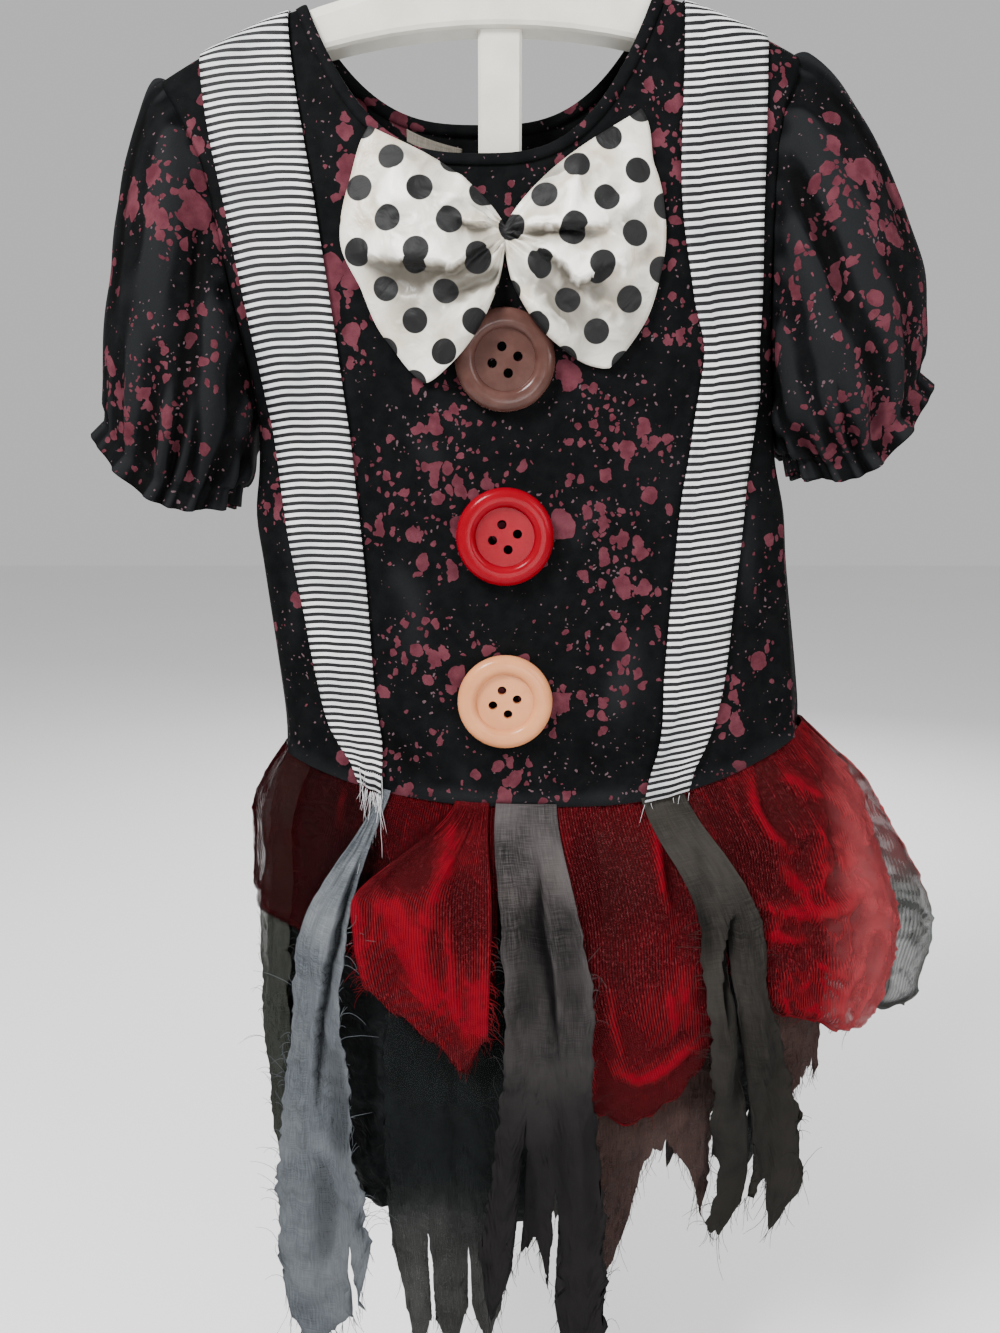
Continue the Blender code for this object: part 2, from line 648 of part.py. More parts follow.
def skirt_point(angle, z, lift):
    """A point of the skirt at an angle and a height, moved out from the lining's form by lift."""
    turn = radians(angle)
    face = "front" if cos(turn) >= 0 else "back"
    drop = max(0, waist_at(angle) - z)
    curve = read(SKIRT, "drop", "square", drop)
    half = read(SKIRT, "drop", "half", drop)
    depth = read(SKIRT, "drop", face, drop)
    x = read(SKIRT, "drop", "centre", drop) + half * sin(turn)
    y = depth * max(0, 1 - abs(sin(turn)) ** curve) ** (1 / curve)
    out = Vector((sin(turn) / half, -cos(turn) / depth, 0)).normalized()
    wave = cos(radians(WAVES * angle)) * 0.75 + cos(radians(5 * angle + 40)) * 0.4
    gather = GATHER * smooth(drop / 260) * wave
    return Vector((x, -y if face == "front" else y, z)) + out * (lift + gather)


def waist_at(angle):
    turn = radians(angle)
    return waist_height(sin(turn), "front" if cos(turn) >= 0 else "back") - WAIST_GAP


def make_lining():
    downs = (0, 0.05, 0.14, 0.3, 0.52, 0.76, 1)
    layer = LAYERS["lining"]
    columns = []
    for index in range(LINING_COLUMNS):
        angle = 360 * index / LINING_COLUMNS
        top = waist_at(angle) - 1.6 * sin(radians(angle)) ** 8
        hem = read(HEM, "angle", "height", (angle + 90) % 360 - 90)
        column = []
        for down in downs:
            z = mix(top, hem, down)
            column.append(skirt_point(angle, z, mix(layer.near, layer.far, smooth((top - z) / 45))))
        columns.append(column)
    sheet("skirt_lining", columns, LIGHT_CLOTH, "lining_cloth", ring=True)


def piece_angle(piece, across, z):
    """The angle of a piece's point, from a curve through its top, middle and low widths."""
    top_z = waist_at(mix(*piece.top, across))
    low_z = min(piece.ends)
    top, middle, low = (mix(*pair, across) for pair in (piece.top, piece.mid, piece.low))
    if z > piece.middle:
        return mix(middle, top, smooth((z - piece.middle) / (top_z - piece.middle)))
    return mix(middle, low, smooth((piece.middle - z) / (piece.middle - low_z)))


def piece_point(piece, across, z, nudge=0.0):
    layer = LAYERS[piece.layer]
    angle = piece_angle(piece, across, z)
    top = waist_at(mix(*piece.top, across))
    z = min(z, waist_at(angle)) if z > top - 1 else z
    drop = top - z
    settle = smooth(drop / 45)
    edge = 1 - 0.3 * abs(2 * across - 1) ** 4 if piece.layer == "overlay" else 1
    lift = mix(layer.near, layer.far, settle) + layer.swell * swell_out(angle, drop) * edge
    lift += piece.flare * smooth(drop / (top - min(piece.ends))) ** 2
    pleat = cos(2 * pi * piece.pleats * across) if piece.pleats else 0
    lift += 2.4 * pleat * settle * (1 - 0.6 * smooth(drop / 150))
    return skirt_point(angle, z, lift) + Vector((nudge, 0, 0))


def make_piece(piece):
    last = len(piece.ends) - 1
    long = min(piece.ends) < waist_at(sum(piece.top) / 2) - SHORT_DROP
    downs = PIECE_ROWS if long else SHORT_ROWS
    rips = dict(piece.rips)
    columns = []
    for index, end in enumerate(piece.ends):
        across = index / last
        top = waist_at(mix(*piece.top, across))
        heights = [mix(top, end, down) for down in downs]
        if index not in rips:
            columns.append([piece_point(piece, across, z) for z in heights])
            continue
        start = rips[index]
        sides = []
        for sign in (-1, 1):
            lean = sign if cos(radians(piece.top[0])) >= 0 else -sign
            sides.append([
                piece_point(piece, across, z, lean * RIP_HALF * max(0, start - z) / (start - end)) for z in heights
            ])
        columns.append(tuple(sides))
    colour = {"overlay": "red_mesh", "top": "grey_cloth", "under": "grey_cloth"}[piece.layer]
    if piece.name == "overlay_flap":
        colour = "red_mesh"
    if piece.name == "tatter_left":
        colour = "light_grey_cloth"
    sheet(piece.name, columns, LIGHT_CLOTH, colour)


# hanger


def arch_section(x):
    """The arch's section at x: a block with round corners, a little thinner towards the ends."""
    top = shoulder_height(x) - CLOTH / 2 - 0.9
    low = ARCH_LOW - ARCH_LOW_FALL * x * x
    end = smooth((abs(x) - 120) / 36)
    thick = ARCH_HALF_THICK * (1 - 0.35 * end)
    low = mix(low, top - 12, end)
    round_top = min(ARCH_ROUND, thick - 0.5) if abs(x) > 60 else 6
    ring = []
    for side, height, radius, first in ((1, top, round_top, 90), (1, low, 3, 0), (-1, low, 3, -90), (-1, top, round_top, 180)):
        middle_z = height - radius if height == top else height + radius
        for step in range(3):
            angle = radians(first - 45 * step)
            ring.append(Vector((x, side * (thick - radius) + radius * cos(angle), middle_z + radius * sin(angle))))
    return ring


def mesh_of(build, name):
    mesh = bpy.data.meshes.new(name)
    bmesh.ops.recalc_face_normals(build, faces=build.faces)
    build.to_mesh(mesh)
    build.free()
    return mesh


def make_hanger():
    build = bmesh.new()
    stations = [ARCH_HALF_SPAN * (2 * step / 16 - 1) for step in range(17)]
    rings = [[build.verts.new(point * MM) for point in arch_section(x)] for x in stations]
    for here, there in zip(rings, rings[1:]):
        for index in range(len(here)):
            after = (index + 1) % len(here)
            build.faces.new((here[index], here[after], there[after], there[index]))
    build.faces.new(rings[0])
    build.faces.new(rings[-1])
    hanger = place("hanger", mesh_of(build, "hanger"), "hanger_plastic", 0.35)

    build = bmesh.new()
    top, foot = ARCH_LOW + 9, STRUT["foot"]
    front, back = STRUT["front"], STRUT["back"]
    size = Vector((2 * STRUT["half_width"], back - front, top - foot)) * MM
    where = Vector((0, (front + back) / 2, (top + foot) / 2)) * MM
    bmesh.ops.create_cube(build, size=1, matrix=Matrix.Translation(where) @ Matrix.Diagonal((*size, 1)))
    bmesh.ops.bevel(build, geom=build.edges[:], offset=1.5 * MM, segments=1, affect="EDGES")
    strut = bpy.data.objects.new("strut_tool", mesh_of(build, "strut"))

    centre_z = HOOK_WIRE - HOOK_RADIUS
    path = [Vector((0, 0, SHOULDER_TOP - 12)), Vector((0, 0, centre_z - HOOK_RADIUS - 6))]
    for step in range(15):
        angle = radians(-80 + 275 * step / 14)
        path.append(Vector((HOOK_RADIUS * cos(angle), 0, centre_z + HOOK_RADIUS * sin(angle))))
    line = bpy.data.curves.new("hook", "CURVE")
    line.dimensions = "3D"
    line.bevel_depth = HOOK_WIRE * MM
    line.bevel_resolution = 2
    line.use_fill_caps = True
    spline = line.splines.new("POLY")
    spline.points.add(len(path) - 1)
    for spot, point in zip(spline.points, path):
        spot.co = (*(point * MM), 1)
    wire = bpy.data.objects.new("hook_wire", line)
    costume.objects.link(wire)
    bpy.context.view_layer.update()
    mesh = bpy.data.meshes.new_from_object(wire.evaluated_get(bpy.context.evaluated_depsgraph_get()))
    bpy.data.objects.remove(wire)
    build = bmesh.new()
    build.from_mesh(mesh)
    bmesh.ops.remove_doubles(build, verts=build.verts, dist=0.00001)
    hook = bpy.data.objects.new("hook_tool", mesh_of(build, "hook"))

    for tool in (strut, hook):
        cutters.objects.link(tool)
        tool.hide_render = True
        tool.display_type = "WIRE"
        join = hanger.modifiers.new("moulded on", "BOOLEAN")
        join.operation = "UNION"
        join.object = tool
    hanger.data.shade_smooth()


for old in list(bpy.data.objects):
    bpy.data.objects.remove(old, do_unlink=True)
costume = bpy.data.collections.new("clown_costume")
cutters = bpy.data.collections.new("cutters")
for group in (costume, cutters):
    bpy.context.scene.collection.children.link(group)

make_hanger()
make_bodice()
make_neck_binding()
make_label()
make_straps()
make_sleeves()
make_bow()
for one_button in BUTTONS:
    make_button(one_button)
make_lining()
for one_piece in PIECES:
    make_piece(one_piece)
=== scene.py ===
import random
from collections import namedtuple
from math import cos, pi, radians, sin

import bmesh
import bpy
import numpy as np
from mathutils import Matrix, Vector, noise


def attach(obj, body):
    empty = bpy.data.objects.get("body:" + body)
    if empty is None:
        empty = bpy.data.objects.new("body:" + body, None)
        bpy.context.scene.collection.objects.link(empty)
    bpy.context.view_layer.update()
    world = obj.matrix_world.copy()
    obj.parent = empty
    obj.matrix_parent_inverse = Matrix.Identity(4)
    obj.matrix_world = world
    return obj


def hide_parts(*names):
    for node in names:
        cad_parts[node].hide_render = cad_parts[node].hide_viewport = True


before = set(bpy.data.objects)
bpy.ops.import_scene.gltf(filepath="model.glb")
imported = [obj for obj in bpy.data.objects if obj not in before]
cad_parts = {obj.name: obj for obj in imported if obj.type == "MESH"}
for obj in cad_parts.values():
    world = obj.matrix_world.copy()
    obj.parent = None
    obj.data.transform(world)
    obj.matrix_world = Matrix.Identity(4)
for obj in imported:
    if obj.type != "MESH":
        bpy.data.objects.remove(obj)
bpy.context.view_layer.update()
bpy.ops.object.select_all(action="DESELECT")
mm = 0.001  # the tables below are in millimetres, meshes are in metres


# small helpers for numbers, which take single values or whole arrays

def smooth(share):
    share = np.clip(share, 0, 1)
    return share * share * (3 - 2 * share)


def mix(start, end, share):
    return start + (end - start) * share


def tableCurve(rows, column=1):
    # a smooth curve through one column of a table, read along its first column
    keys, values = (np.array([row[place] for row in rows], float) for place in (0, column))
    turn = -1 if keys[0] > keys[-1] else 1
    keys = keys * turn
    before = np.maximum(np.arange(len(keys)) - 1, 0)
    after = np.minimum(np.arange(len(keys)) + 1, len(keys) - 1)
    slopes = (values[after] - values[before]) / (keys[after] - keys[before])

    def curve(where):
        where = np.clip(turn * np.asarray(where, float), keys[0], keys[-1])
        low = np.clip(np.searchsorted(keys, where, side="right") - 1, 0, len(keys) - 2)
        span = keys[low + 1] - keys[low]
        share = (where - keys[low]) / span
        bendIn = slopes[low] * span * share * (1 - share) ** 2
        bendOut = slopes[low + 1] * span * share ** 2 * (share - 1)
        return mix(values[low], values[low + 1], smooth(share)) + bendIn + bendOut

    return curve


def spread(across, down):
    # two grids of one shape, from the values along its columns and those down its rows
    return across[:, None] + np.zeros((1, len(down))), down[None, :] + np.zeros((len(across), 1))


def gridNormals(points):
    across = np.gradient(points, axis=0)
    down = np.gradient(points, axis=1)
    normals = np.cross(down, across)
    return normals / np.maximum(np.linalg.norm(normals, axis=2, keepdims=True), 1e-9)


def ringNormals(points):
    return gridNormals(np.concatenate([points[-3:], points, points[:3]]))[3:-3]


def ripple(points, size, seed):
    # slow uneven waves over a grid, from -1 to 1
    shift = Vector((seed * 7.3, seed * 3.1, seed * 5.7))
    flat = (points / size).reshape(-1, 3).tolist()
    return np.array([noise.noise(Vector(spot) + shift) for spot in flat]).reshape(points.shape[:2])


def ringRidge(points, normals, reach=7):
    # how far each point of a ring stands above the mean of those beside it, in mm
    mean = sum(np.roll(points, step, axis=0) for step in range(-reach, reach + 1)) / (2 * reach + 1)
    return ((points - mean) * normals).sum(axis=-1)


def crumple(points, size, seed):
    # a net of sharp creases, 1 on a crease and 0 away from it
    bent = points + size * 0.5 * ripple(points, size * 1.7, seed + 4)[..., None]
    return np.clip(1 - 4.5 * np.abs(ripple(bent, size, seed)), 0, 1) ** 1.5


# a fold runs along a path of (across, down) places and fades out at both ends; dense is how much
# closer the weave lies on it, and a ledge rises on one side only: 1 left of the path, -1 right
fold = namedtuple("fold", "path width rise dense ledge", defaults=(0, 0))
foldShape = {
    "fade": 0.38,  # share of a fold's length over which it rises from each end
    "step": 1.4,  # width in mm of a ledge's rise
    "shadeWidth": 0.75,  # of the shade beside a ledge, as a share of the fold's width
    "ledgeShade": 0.95,
    "hollowShade": 0.05,
    "mostShade": 0.92,
}


def smoothPath(path, each=5):
    path = [np.array(spot, float) for spot in path]
    path = [2 * path[0] - path[1]] + path + [2 * path[-1] - path[-2]]
    made = []
    for a, b, c, d in zip(path, path[1:], path[2:], path[3:]):
        for step in range(each):
            t = step / each
            turning = (2 * a - 5 * b + 4 * c - d) * t * t + (3 * b - a - 3 * c + d) * t ** 3
            made.append(0.5 * (2 * b + (c - a) * t + turning))
    return np.array(made + [path[-2]])


def nearPath(path, s, d):
    # distance from the path, share of the way along it, and which side
    best = np.full_like(s, 1e9)
    place, side = np.zeros_like(s), np.zeros_like(s)
    steps = len(path) - 1
    for step in range(steps):
        run = path[step + 1] - path[step]
        offS, offD = s - path[step, 0], d - path[step, 1]
        reach = np.clip((offS * run[0] + offD * run[1]) / max(run @ run, 1e-6), 0, 1)
        away = np.hypot(offS - reach * run[0], offD - reach * run[1])
        closer = away < best
        best = np.where(closer, away, best)
        place = np.where(closer, (step + reach) / steps, place)
        side = np.where(closer, run[0] * offD - run[1] * offS, side)
    return best, place, np.sign(side)


def foldRelief(folds, s, d):
    # height, extra closeness of the weave and shade that the folds give at each place
    relief, dense, shade = (np.zeros_like(s) for _ in range(3))
    for row in folds:
        away, place, side = nearPath(smoothPath(row.path), s, d)
        fade = smooth(np.minimum(place, 1 - place) / foldShape["fade"] + 0.1)
        hill = np.exp(-(away / row.width) ** 2) * fade
        dense += row.dense * hill
        if row.ledge:
            raised = smooth(0.5 + side * row.ledge * away / foldShape["step"])
            hollow = np.exp(-(away / row.width) ** 1.4) * fade * (1 - raised)
            relief += row.rise * (0.5 * hill * raised - 0.6 * hollow)
            dark = np.exp(-(away / (foldShape["shadeWidth"] * row.width)) ** 1.2)
            shade += foldShape["ledgeShade"] * dark * fade * (1 - raised)
        else:
            relief += row.rise * hill
            if row.rise < 0:
                shade += foldShape["hollowShade"] * abs(row.rise) * hill
    return relief, dense, np.clip(shade, 0, foldShape["mostShade"])


def gatherFolds(width, length, count, seed, rise):
    # folds that fan down from a gathered seam, uneven in length, depth and spacing
    draw = random.Random(seed)
    folds = []
    for index in range(count):
        s = width * (index + 0.5 + draw.uniform(-0.35, 0.35)) / count
        drift = draw.uniform(-0.06, 0.06) * width + (s - width / 2) * 0.12
        end = length * draw.uniform(0.25, 0.95)
        wide = draw.uniform(0.2, 0.36) * width / count
        way = draw.choice((1, 1, -1))
        path = ((s, draw.uniform(0, 6)), (s + drift * 0.3, end * 0.5), (s + drift, end))
        folds.append(fold(path, wide, rise * draw.uniform(0.5, 1.1) * way, 0.25 if way > 0 else 0))
    return folds


# helpers for making pieces

def pick(kind, test):
    # in edit mode, selects the faces or edges that pass the test
    bpy.ops.mesh.select_mode(type="FACE" if kind == "faces" else "EDGE")
    bpy.ops.mesh.select_all(action="DESELECT")
    shape = bmesh.from_edit_mesh(bpy.context.object.data)
    for part in getattr(shape, kind):
        if test(part):
            part.select_set(True)
    bmesh.update_edit_mesh(bpy.context.object.data)


def onCircle(edge, radius, height, near=0.05):
    # whether both ends of the edge are at this radius and height, in mm
    return all(abs(spot.co.xy.length - radius * mm) < near * mm and abs(spot.co.z - height * mm) < near * mm
               for spot in edge.verts)


def finishPiece(piece, material, replaced=(), wall=None):
    piece.data.materials.clear()
    piece.data.materials.append(material)
    piece.data.shade_smooth()
    if wall:
        shell = piece.modifiers.new("cloth wall", "SOLIDIFY")
        shell.thickness = wall * mm
        shell.offset = 0.0
    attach(piece, "root")
    if replaced:
        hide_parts(*replaced)
    return piece


def newPiece(name, places, faces, uv=None, marks=None):
    # a mesh object from places in metres, with its weave map and its marks
    mesh = bpy.data.meshes.new(name)
    mesh.from_pydata([tuple(spot) for spot in places], [], faces)
    layer = mesh.uv_layers.new(name="weave")
    if uv is not None:
        layer.data.foreach_set("uv", np.array(uv, np.float32).ravel())
    for key, values in (marks or {}).items():
        made = mesh.attributes.new(key, "FLOAT", "POINT")
        made.data.foreach_set("value", np.array(values, np.float32))
    piece = bpy.data.objects.new(name, mesh)
    bpy.context.scene.collection.objects.link(piece)
    return piece


def gridMesh(name, points, size, ring=False, rips=None, marks=None, slip=0.0):
    # a sheet of quads with its weave laid out to size, in metres; slip moves the weave along it, in mm;
    # rips are {column: (rows above it, left edge, right edge)}
    rips = rips or {}
    columns, rows = points.shape[:2]
    places, where, leftOf, rightOf = [], [], [], []
    for column in range(columns):
        line = list(range(len(places), len(places) + rows))
        if column not in rips:
            places.extend(points[column])
            where.extend((column, row) for row in range(rows))
            leftOf.append(line)
            rightOf.append(line)
            continue
        above, left, right = rips[column]
        places.extend(left)
        places.extend(right[above:])
        where.extend((column, row) for row in range(rows))
        where.extend((column, row) for row in range(above, rows))
        other = line[:above] + list(range(line[-1] + 1, line[-1] + 1 + rows - above))
        leftOf.append(line)
        rightOf.append(other)
    faces, uv = [], []
    wide, long = size
    last = columns if ring else columns - 1
    lengths = np.zeros((columns, rows))
    lengths[:, 1:] = np.cumsum(np.linalg.norm(np.diff(points, axis=1), axis=2), axis=1)
    lengths = lengths / lengths[:, -1:].mean() * long * 1000 + slip
    for column in range(last):
        after = (column + 1) % columns
        near, far = column / last * wide, (column + 1) / last * wide
        left, right = rightOf[column], leftOf[after]
        for row in range(rows - 1):
            faces.append((left[row], left[row + 1], right[row + 1], right[row]))
            uv.extend(((near, lengths[column, row] * mm), (near, lengths[column, row + 1] * mm),
                       (far, lengths[after, row + 1] * mm), (far, lengths[after, row] * mm)))
    marks = {key: [values[c, r] for c, r in where] for key, values in (marks or {}).items()}
    return newPiece(name, [spot * mm for spot in places], faces, uv, marks)


def cutSheet(points, ring=False):
    # works out the size that a sheet was cut to, from the widest and longest runs of its own grid; nothing
    # uses the result
    if ring:
        points = np.concatenate([points, points[:1]])
    level = points[:, :-max(2, points.shape[1] // 8)]  # without the torn lower edge
    run = np.diff(level, axis=0)[..., :3 if ring else 2]
    wide = np.linalg.norm(run, axis=2).sum(axis=0).max() * mm
    long = np.linalg.norm(np.diff(points, axis=1), axis=2).sum(axis=1).max() * mm
    corner = np.cross(points[1:, :-1] - points[:-1, :-1], points[:-1, 1:] - points[:-1, :-1])
    area = float(np.linalg.norm(corner, axis=-1).sum() * mm * mm)
    wide, long = max(0.01, round(float(wide), 3)), max(0.01, round(float(long), 3))
    area = round(min(max(area, 0.35 * wide * long), wide * long), 5)


def closeFrontBack(name, front, back, slide, marks):
    # a closed soft form from a front grid and a back grid; its print lies flat, but for the slide
    columns, rows = front.shape[:2]
    count = columns * rows
    spots = np.concatenate([front.reshape(-1, 3), back.reshape(-1, 3)])
    flat = spots[:, (0, 2)].copy()
    flat[:count] += slide.reshape(-1, 2)
    faces = []
    for column in range(columns - 1):
        for row in range(rows - 1):
            a, b = column * rows + row, column * rows + row + 1
            faces.append((a, b, b + rows, a + rows))
            faces.append((count + a + rows, count + b + rows, count + b, count + a))
    rim = [(column, 0) for column in range(columns)] + [(columns - 1, row) for row in range(1, rows)]
    rim += [(column, rows - 1) for column in range(columns - 2, -1, -1)]
    rim += [(0, row) for row in range(rows - 2, 0, -1)]
    for here, there in zip(rim, rim[1:] + rim[:1]):
        a, b = here[0] * rows + here[1], there[0] * rows + there[1]
        faces.append((a, b, count + b, count + a))
    uv = flat[np.array(faces).ravel()] * mm
    marks = {key: np.concatenate([values.ravel(), np.zeros(count)]) for key, values in marks.items()}
    return newPiece(name, spots * mm, faces, uv, marks)


def threadPiece(name, roots, material, lengths, seed, droop=0.25, radius=0.2):
    # loose threads, each a thin bent tube from a root given as (point, way out)
    draw = random.Random(seed)
    places, faces = [], []
    steps, sides = 5, 3  # of each thread, along it and round it
    for point, way in roots:
        spot, way = np.array(point, float), np.array(way, float)
        length = draw.uniform(*lengths) * draw.choice((0.6, 1, 1, 1.6))
        bend = np.array([draw.uniform(-1, 1) for _ in range(3)]) * 0.45
        first = len(places)
        for step in range(steps + 1):
            thin = radius * (1 - 0.5 * step / steps)
            side = np.cross(way, (0.31, 0.9, 0.3))
            side /= max(np.linalg.norm(side), 1e-6)
            other = np.cross(way, side)
            for corner in range(sides):
                angle = 2 * pi * corner / sides
                places.append(tuple((spot + (side * cos(angle) + other * sin(angle)) * thin) * mm))
            way = way + bend * 0.5 + np.array([draw.uniform(-1, 1), draw.uniform(-1, 1), 0]) * 0.16
            way = way + np.array((0, 0, -droop))
            way /= max(np.linalg.norm(way), 1e-6)
            spot = spot + way * length / steps
        for step in range(steps):
            for corner in range(sides):
                a = first + step * sides + corner
                b = first + step * sides + (corner + 1) % sides
                faces.append((a, b, b + sides, a + sides))
        faces.append(tuple(first + corner for corner in range(sides))[::-1])
        faces.append(tuple(first + steps * sides + corner for corner in range(sides)))
    return finishPiece(newPiece(name, places, faces), material)


# helpers for materials, which add to the one that is being made

making = {}


def setSocket(socket, value):
    if isinstance(value, bpy.types.NodeSocket):
        making["tree"].links.new(value, socket)
    else:
        socket.default_value = value


def put(kind, inputs=None, **settings):
    node = making["tree"].nodes.new("ShaderNode" + kind)
    for key, value in settings.items():
        setattr(node, key, value)
    for key, value in (inputs or {}).items():
        setSocket(node.inputs[key], value)
    return node


def calc(operation, first, second=0.0, third=None, clamp=False):
    inputs = {0: first, 1: second}
    if third is not None:
        inputs[2] = third
    return put("Math", inputs, operation=operation, use_clamp=clamp).outputs[0]


def times(first, second, extra=None, clamp=False):
    # first times second, with the extra added where it is given
    return calc("MULTIPLY" if extra is None else "MULTIPLY_ADD", first, second, extra, clamp)


def plus(first, second, clamp=False):
    return calc("ADD", first, second, clamp=clamp)


def minus(first, second, clamp=False):
    return calc("SUBTRACT", first, second, clamp=clamp)


def band(value, low, high):
    # 0 up to low, 1 from high, and smooth between them
    limits = {"Value": value, "From Min": low, "From Max": high}
    return put("MapRange", limits, interpolation_type="SMOOTHSTEP").outputs["Result"]


def hump(value, rise, fall):
    # 1 between the rise and the fall, which are (low, high) pairs, and 0 beside them
    return minus(band(value, *rise), band(value, *fall))


def cellOf(value, pitch, shift=None):
    # how far a value is along its own step of a repeat, from 0 to 1
    steps = calc("DIVIDE", value, pitch)
    return calc("FRACT", steps if shift is None else plus(steps, shift))


def blend(share, first, second):
    node = put("Mix", {0: share}, data_type="RGBA", blend_type="MIX")
    for socket, value in ((node.inputs[6], first), (node.inputs[7], second)):
        setSocket(socket, (*value, 1) if isinstance(value, tuple) else value)
    return node.outputs[2]


def layered(look, first, **shares):
    # a look's first colour, with its other colours laid over it in turn, each by its share
    colour = look[first]
    for key, share in shares.items():
        colour = blend(share, colour, look[key])
    return colour


def newMaterial(name, roughness, shine=0.5):
    made = bpy.data.materials.new(name)
    made.use_nodes = True
    making["tree"] = made.node_tree
    making["shader"] = made.node_tree.nodes["Principled BSDF"]
    feed("Roughness", roughness)
    feed("Specular IOR Level", shine)
    return made


def feed(key, value):
    setSocket(making["shader"].inputs[key], value)


def placeOn(place, scale=(1, 1, 1), shift=(0, 0, 0), turn=0.0):
    inputs = {"Vector": place, "Scale": scale, "Location": shift, "Rotation": (0, 0, radians(turn))}
    return put("Mapping", inputs).outputs[0]


def objectPlace(scale=1000.0):
    # the place on the costume, in mm unless another scale is given
    return placeOn(put("TexCoord").outputs["Object"], (scale, scale, scale))


def uvPlace(scale=(1, 1, 1)):
    # the place along the cloth's own weave, in metres before it is scaled
    return placeOn(put("TexCoord").outputs["UV"], scale)


def axisOf(place, axis):
    return put("SeparateXYZ", {0: place}).outputs["XYZ".index(axis)]


def noiseOf(place, scale, detail, roughness=0.55, bend=0.0):
    return put("TexNoise", {"Vector": place, "Scale": scale, "Detail": detail, "Roughness": roughness,
                            "Distortion": bend}).outputs["Fac"]


def patchesOf(place, scale, detail, low, high):
    # soft patches, from 0 to 1
    return band(noiseOf(place, scale, detail), low, high)


def mark(name):
    return put("Attribute", attribute_name=name).outputs["Fac"]


def bumpOf(height, distance, strength, under=None):
    inputs = {"Height": height, "Distance": distance, "Strength": strength}
    if under is not None:
        inputs["Normal"] = under
    normal = put("Bump", inputs).outputs[0]
    feed("Normal", normal)
    return normal


def tinted(colour, factor):
    return tuple(factor * part for part in colour)


# materials

inMm = (1000, 1000, 1)  # turns the weave's own map into mm
blackLook = {
    "dark": (0.0017, 0.0019, 0.0021),
    "light": (0.0034, 0.0036, 0.0039),
    # painted light on raised folds, then painted shade in the hollows between them
    "ridge": (0.0092, 0.0100, 0.0108),
    "hollow": (0.0006, 0.0006, 0.0007),
    "roughness": 0.75,
    "shine": 0.035,
}
paint = {
    "layers": (  # cells per mm, how much they stretch downwards, largest radius, how many are there
        (0.055, 0.72, 0.42, 0.72), (0.085, 0.8, 0.46, 0.85),
        (0.15, 0.85, 0.47, 0.90), (0.27, 0.9, 0.42, 0.80),
    ),
    "wobbles": ((0.09, 7.0), (0.3, 2.6)),  # cells per mm and reach in mm, which bend the drops
    "clusterShare": 0.55,  # how much the drops gather by themselves, and where a splash is marked
    "splashShare": 0.45,
    "dark": (0.056, 0.0125, 0.0185),
    "light": (0.092, 0.025, 0.034),
    # painted shade of the paint in hollows
    "hollow": (0.018, 0.004, 0.006),
    "specks": (0.11, 0.065, 0.075),
    "speckCells": 0.24,
    "speckSize": 0.22,
    "speckCover": 0.7,
}


def dropsOf(bent, crowd):
    # 1 where one of the layers of drops lies, and 0 beside them
    total = None
    for number, (scale, stretch, large, many) in enumerate(paint["layers"]):
        there = placeOn(bent, (1, 1, stretch), (57 * number, 31 * number, 13))
        cell = put("TexVoronoi", {"Vector": there, "Scale": scale})
        chance = put("SeparateColor", {0: cell.outputs["Color"]}).outputs[0]
        limit = minus(1.0, times(crowd, many))
        size = times(band(chance, limit, plus(limit, 0.35)), large)
        spot = calc("LESS_THAN", cell.outputs["Distance"], size)
        total = spot if total is None else calc("MAXIMUM", total, spot)
    return total


def blackPrint():
    made = newMaterial("black cloth, paint print", blackLook["roughness"], blackLook["shine"])
    place = objectPlace()
    bent = place
    for scale, reach in paint["wobbles"]:
        shift = put("TexNoise", {"Vector": place, "Scale": scale, "Detail": 1.0}).outputs["Color"]
        for operation, much in (("SUBTRACT", 0.5), ("MULTIPLY", reach)):
            shift = put("VectorMath", {0: shift, 1: (much, much, much)}, operation=operation).outputs[0]
        bent = put("VectorMath", {0: bent, 1: shift}, operation="ADD").outputs[0]
    cluster = patchesOf(place, 0.024, 2.0, 0.36, 0.62)
    crowd = plus(times(cluster, paint["clusterShare"]), times(mark("splash"), paint["splashShare"]))
    drop = dropsOf(bent, crowd)
    specks = put("TexVoronoi", {"Vector": bent, "Scale": paint["speckCells"]})
    speckSize = times(patchesOf(place, 0.035, 2.0, 0.2, 0.75), paint["speckSize"])
    speck = calc("LESS_THAN", specks.outputs["Distance"], speckSize)
    tone = patchesOf(place, 0.11, 3.0, 0.3, 0.7)
    # painted light and shade from the folds' relief: lighter on raised folds, darker in hollows, on the cloth
    # and on the paint
    ridge = mark("ridge")
    hollow = times(band(ridge, 0.45, 0.05), 0.8)
    black = layered(blackLook, "dark", light=tone, ridge=band(ridge, 0.5, 1.0), hollow=hollow)
    colour = blend(times(speck, paint["speckCover"]), black, paint["specks"])
    red = layered(paint, "dark", light=tone, hollow=times(band(ridge, 0.4, 0.0), 0.6))
    feed("Base Color", blend(drop, colour, red))
    first = bumpOf(noiseOf(place, 1.6, 2.0), 0.0003, 0.5)
    bumpOf(noiseOf(place, 0.12, 3.0), 0.0012, 0.35, first)
    return made


ribbon = {
    "pitch": 4.56,
    "start": 0.28,  # where a black stripe starts within the pitch, how wide it is and how soft its edges
    "black": 0.51,
    "edge": 0.08,
    "wander": 0.10,
    "ink": (0.004, 0.004, 0.005),
    "white": (0.76, 0.76, 0.75),
    "grimy": (0.46, 0.465, 0.475),
}


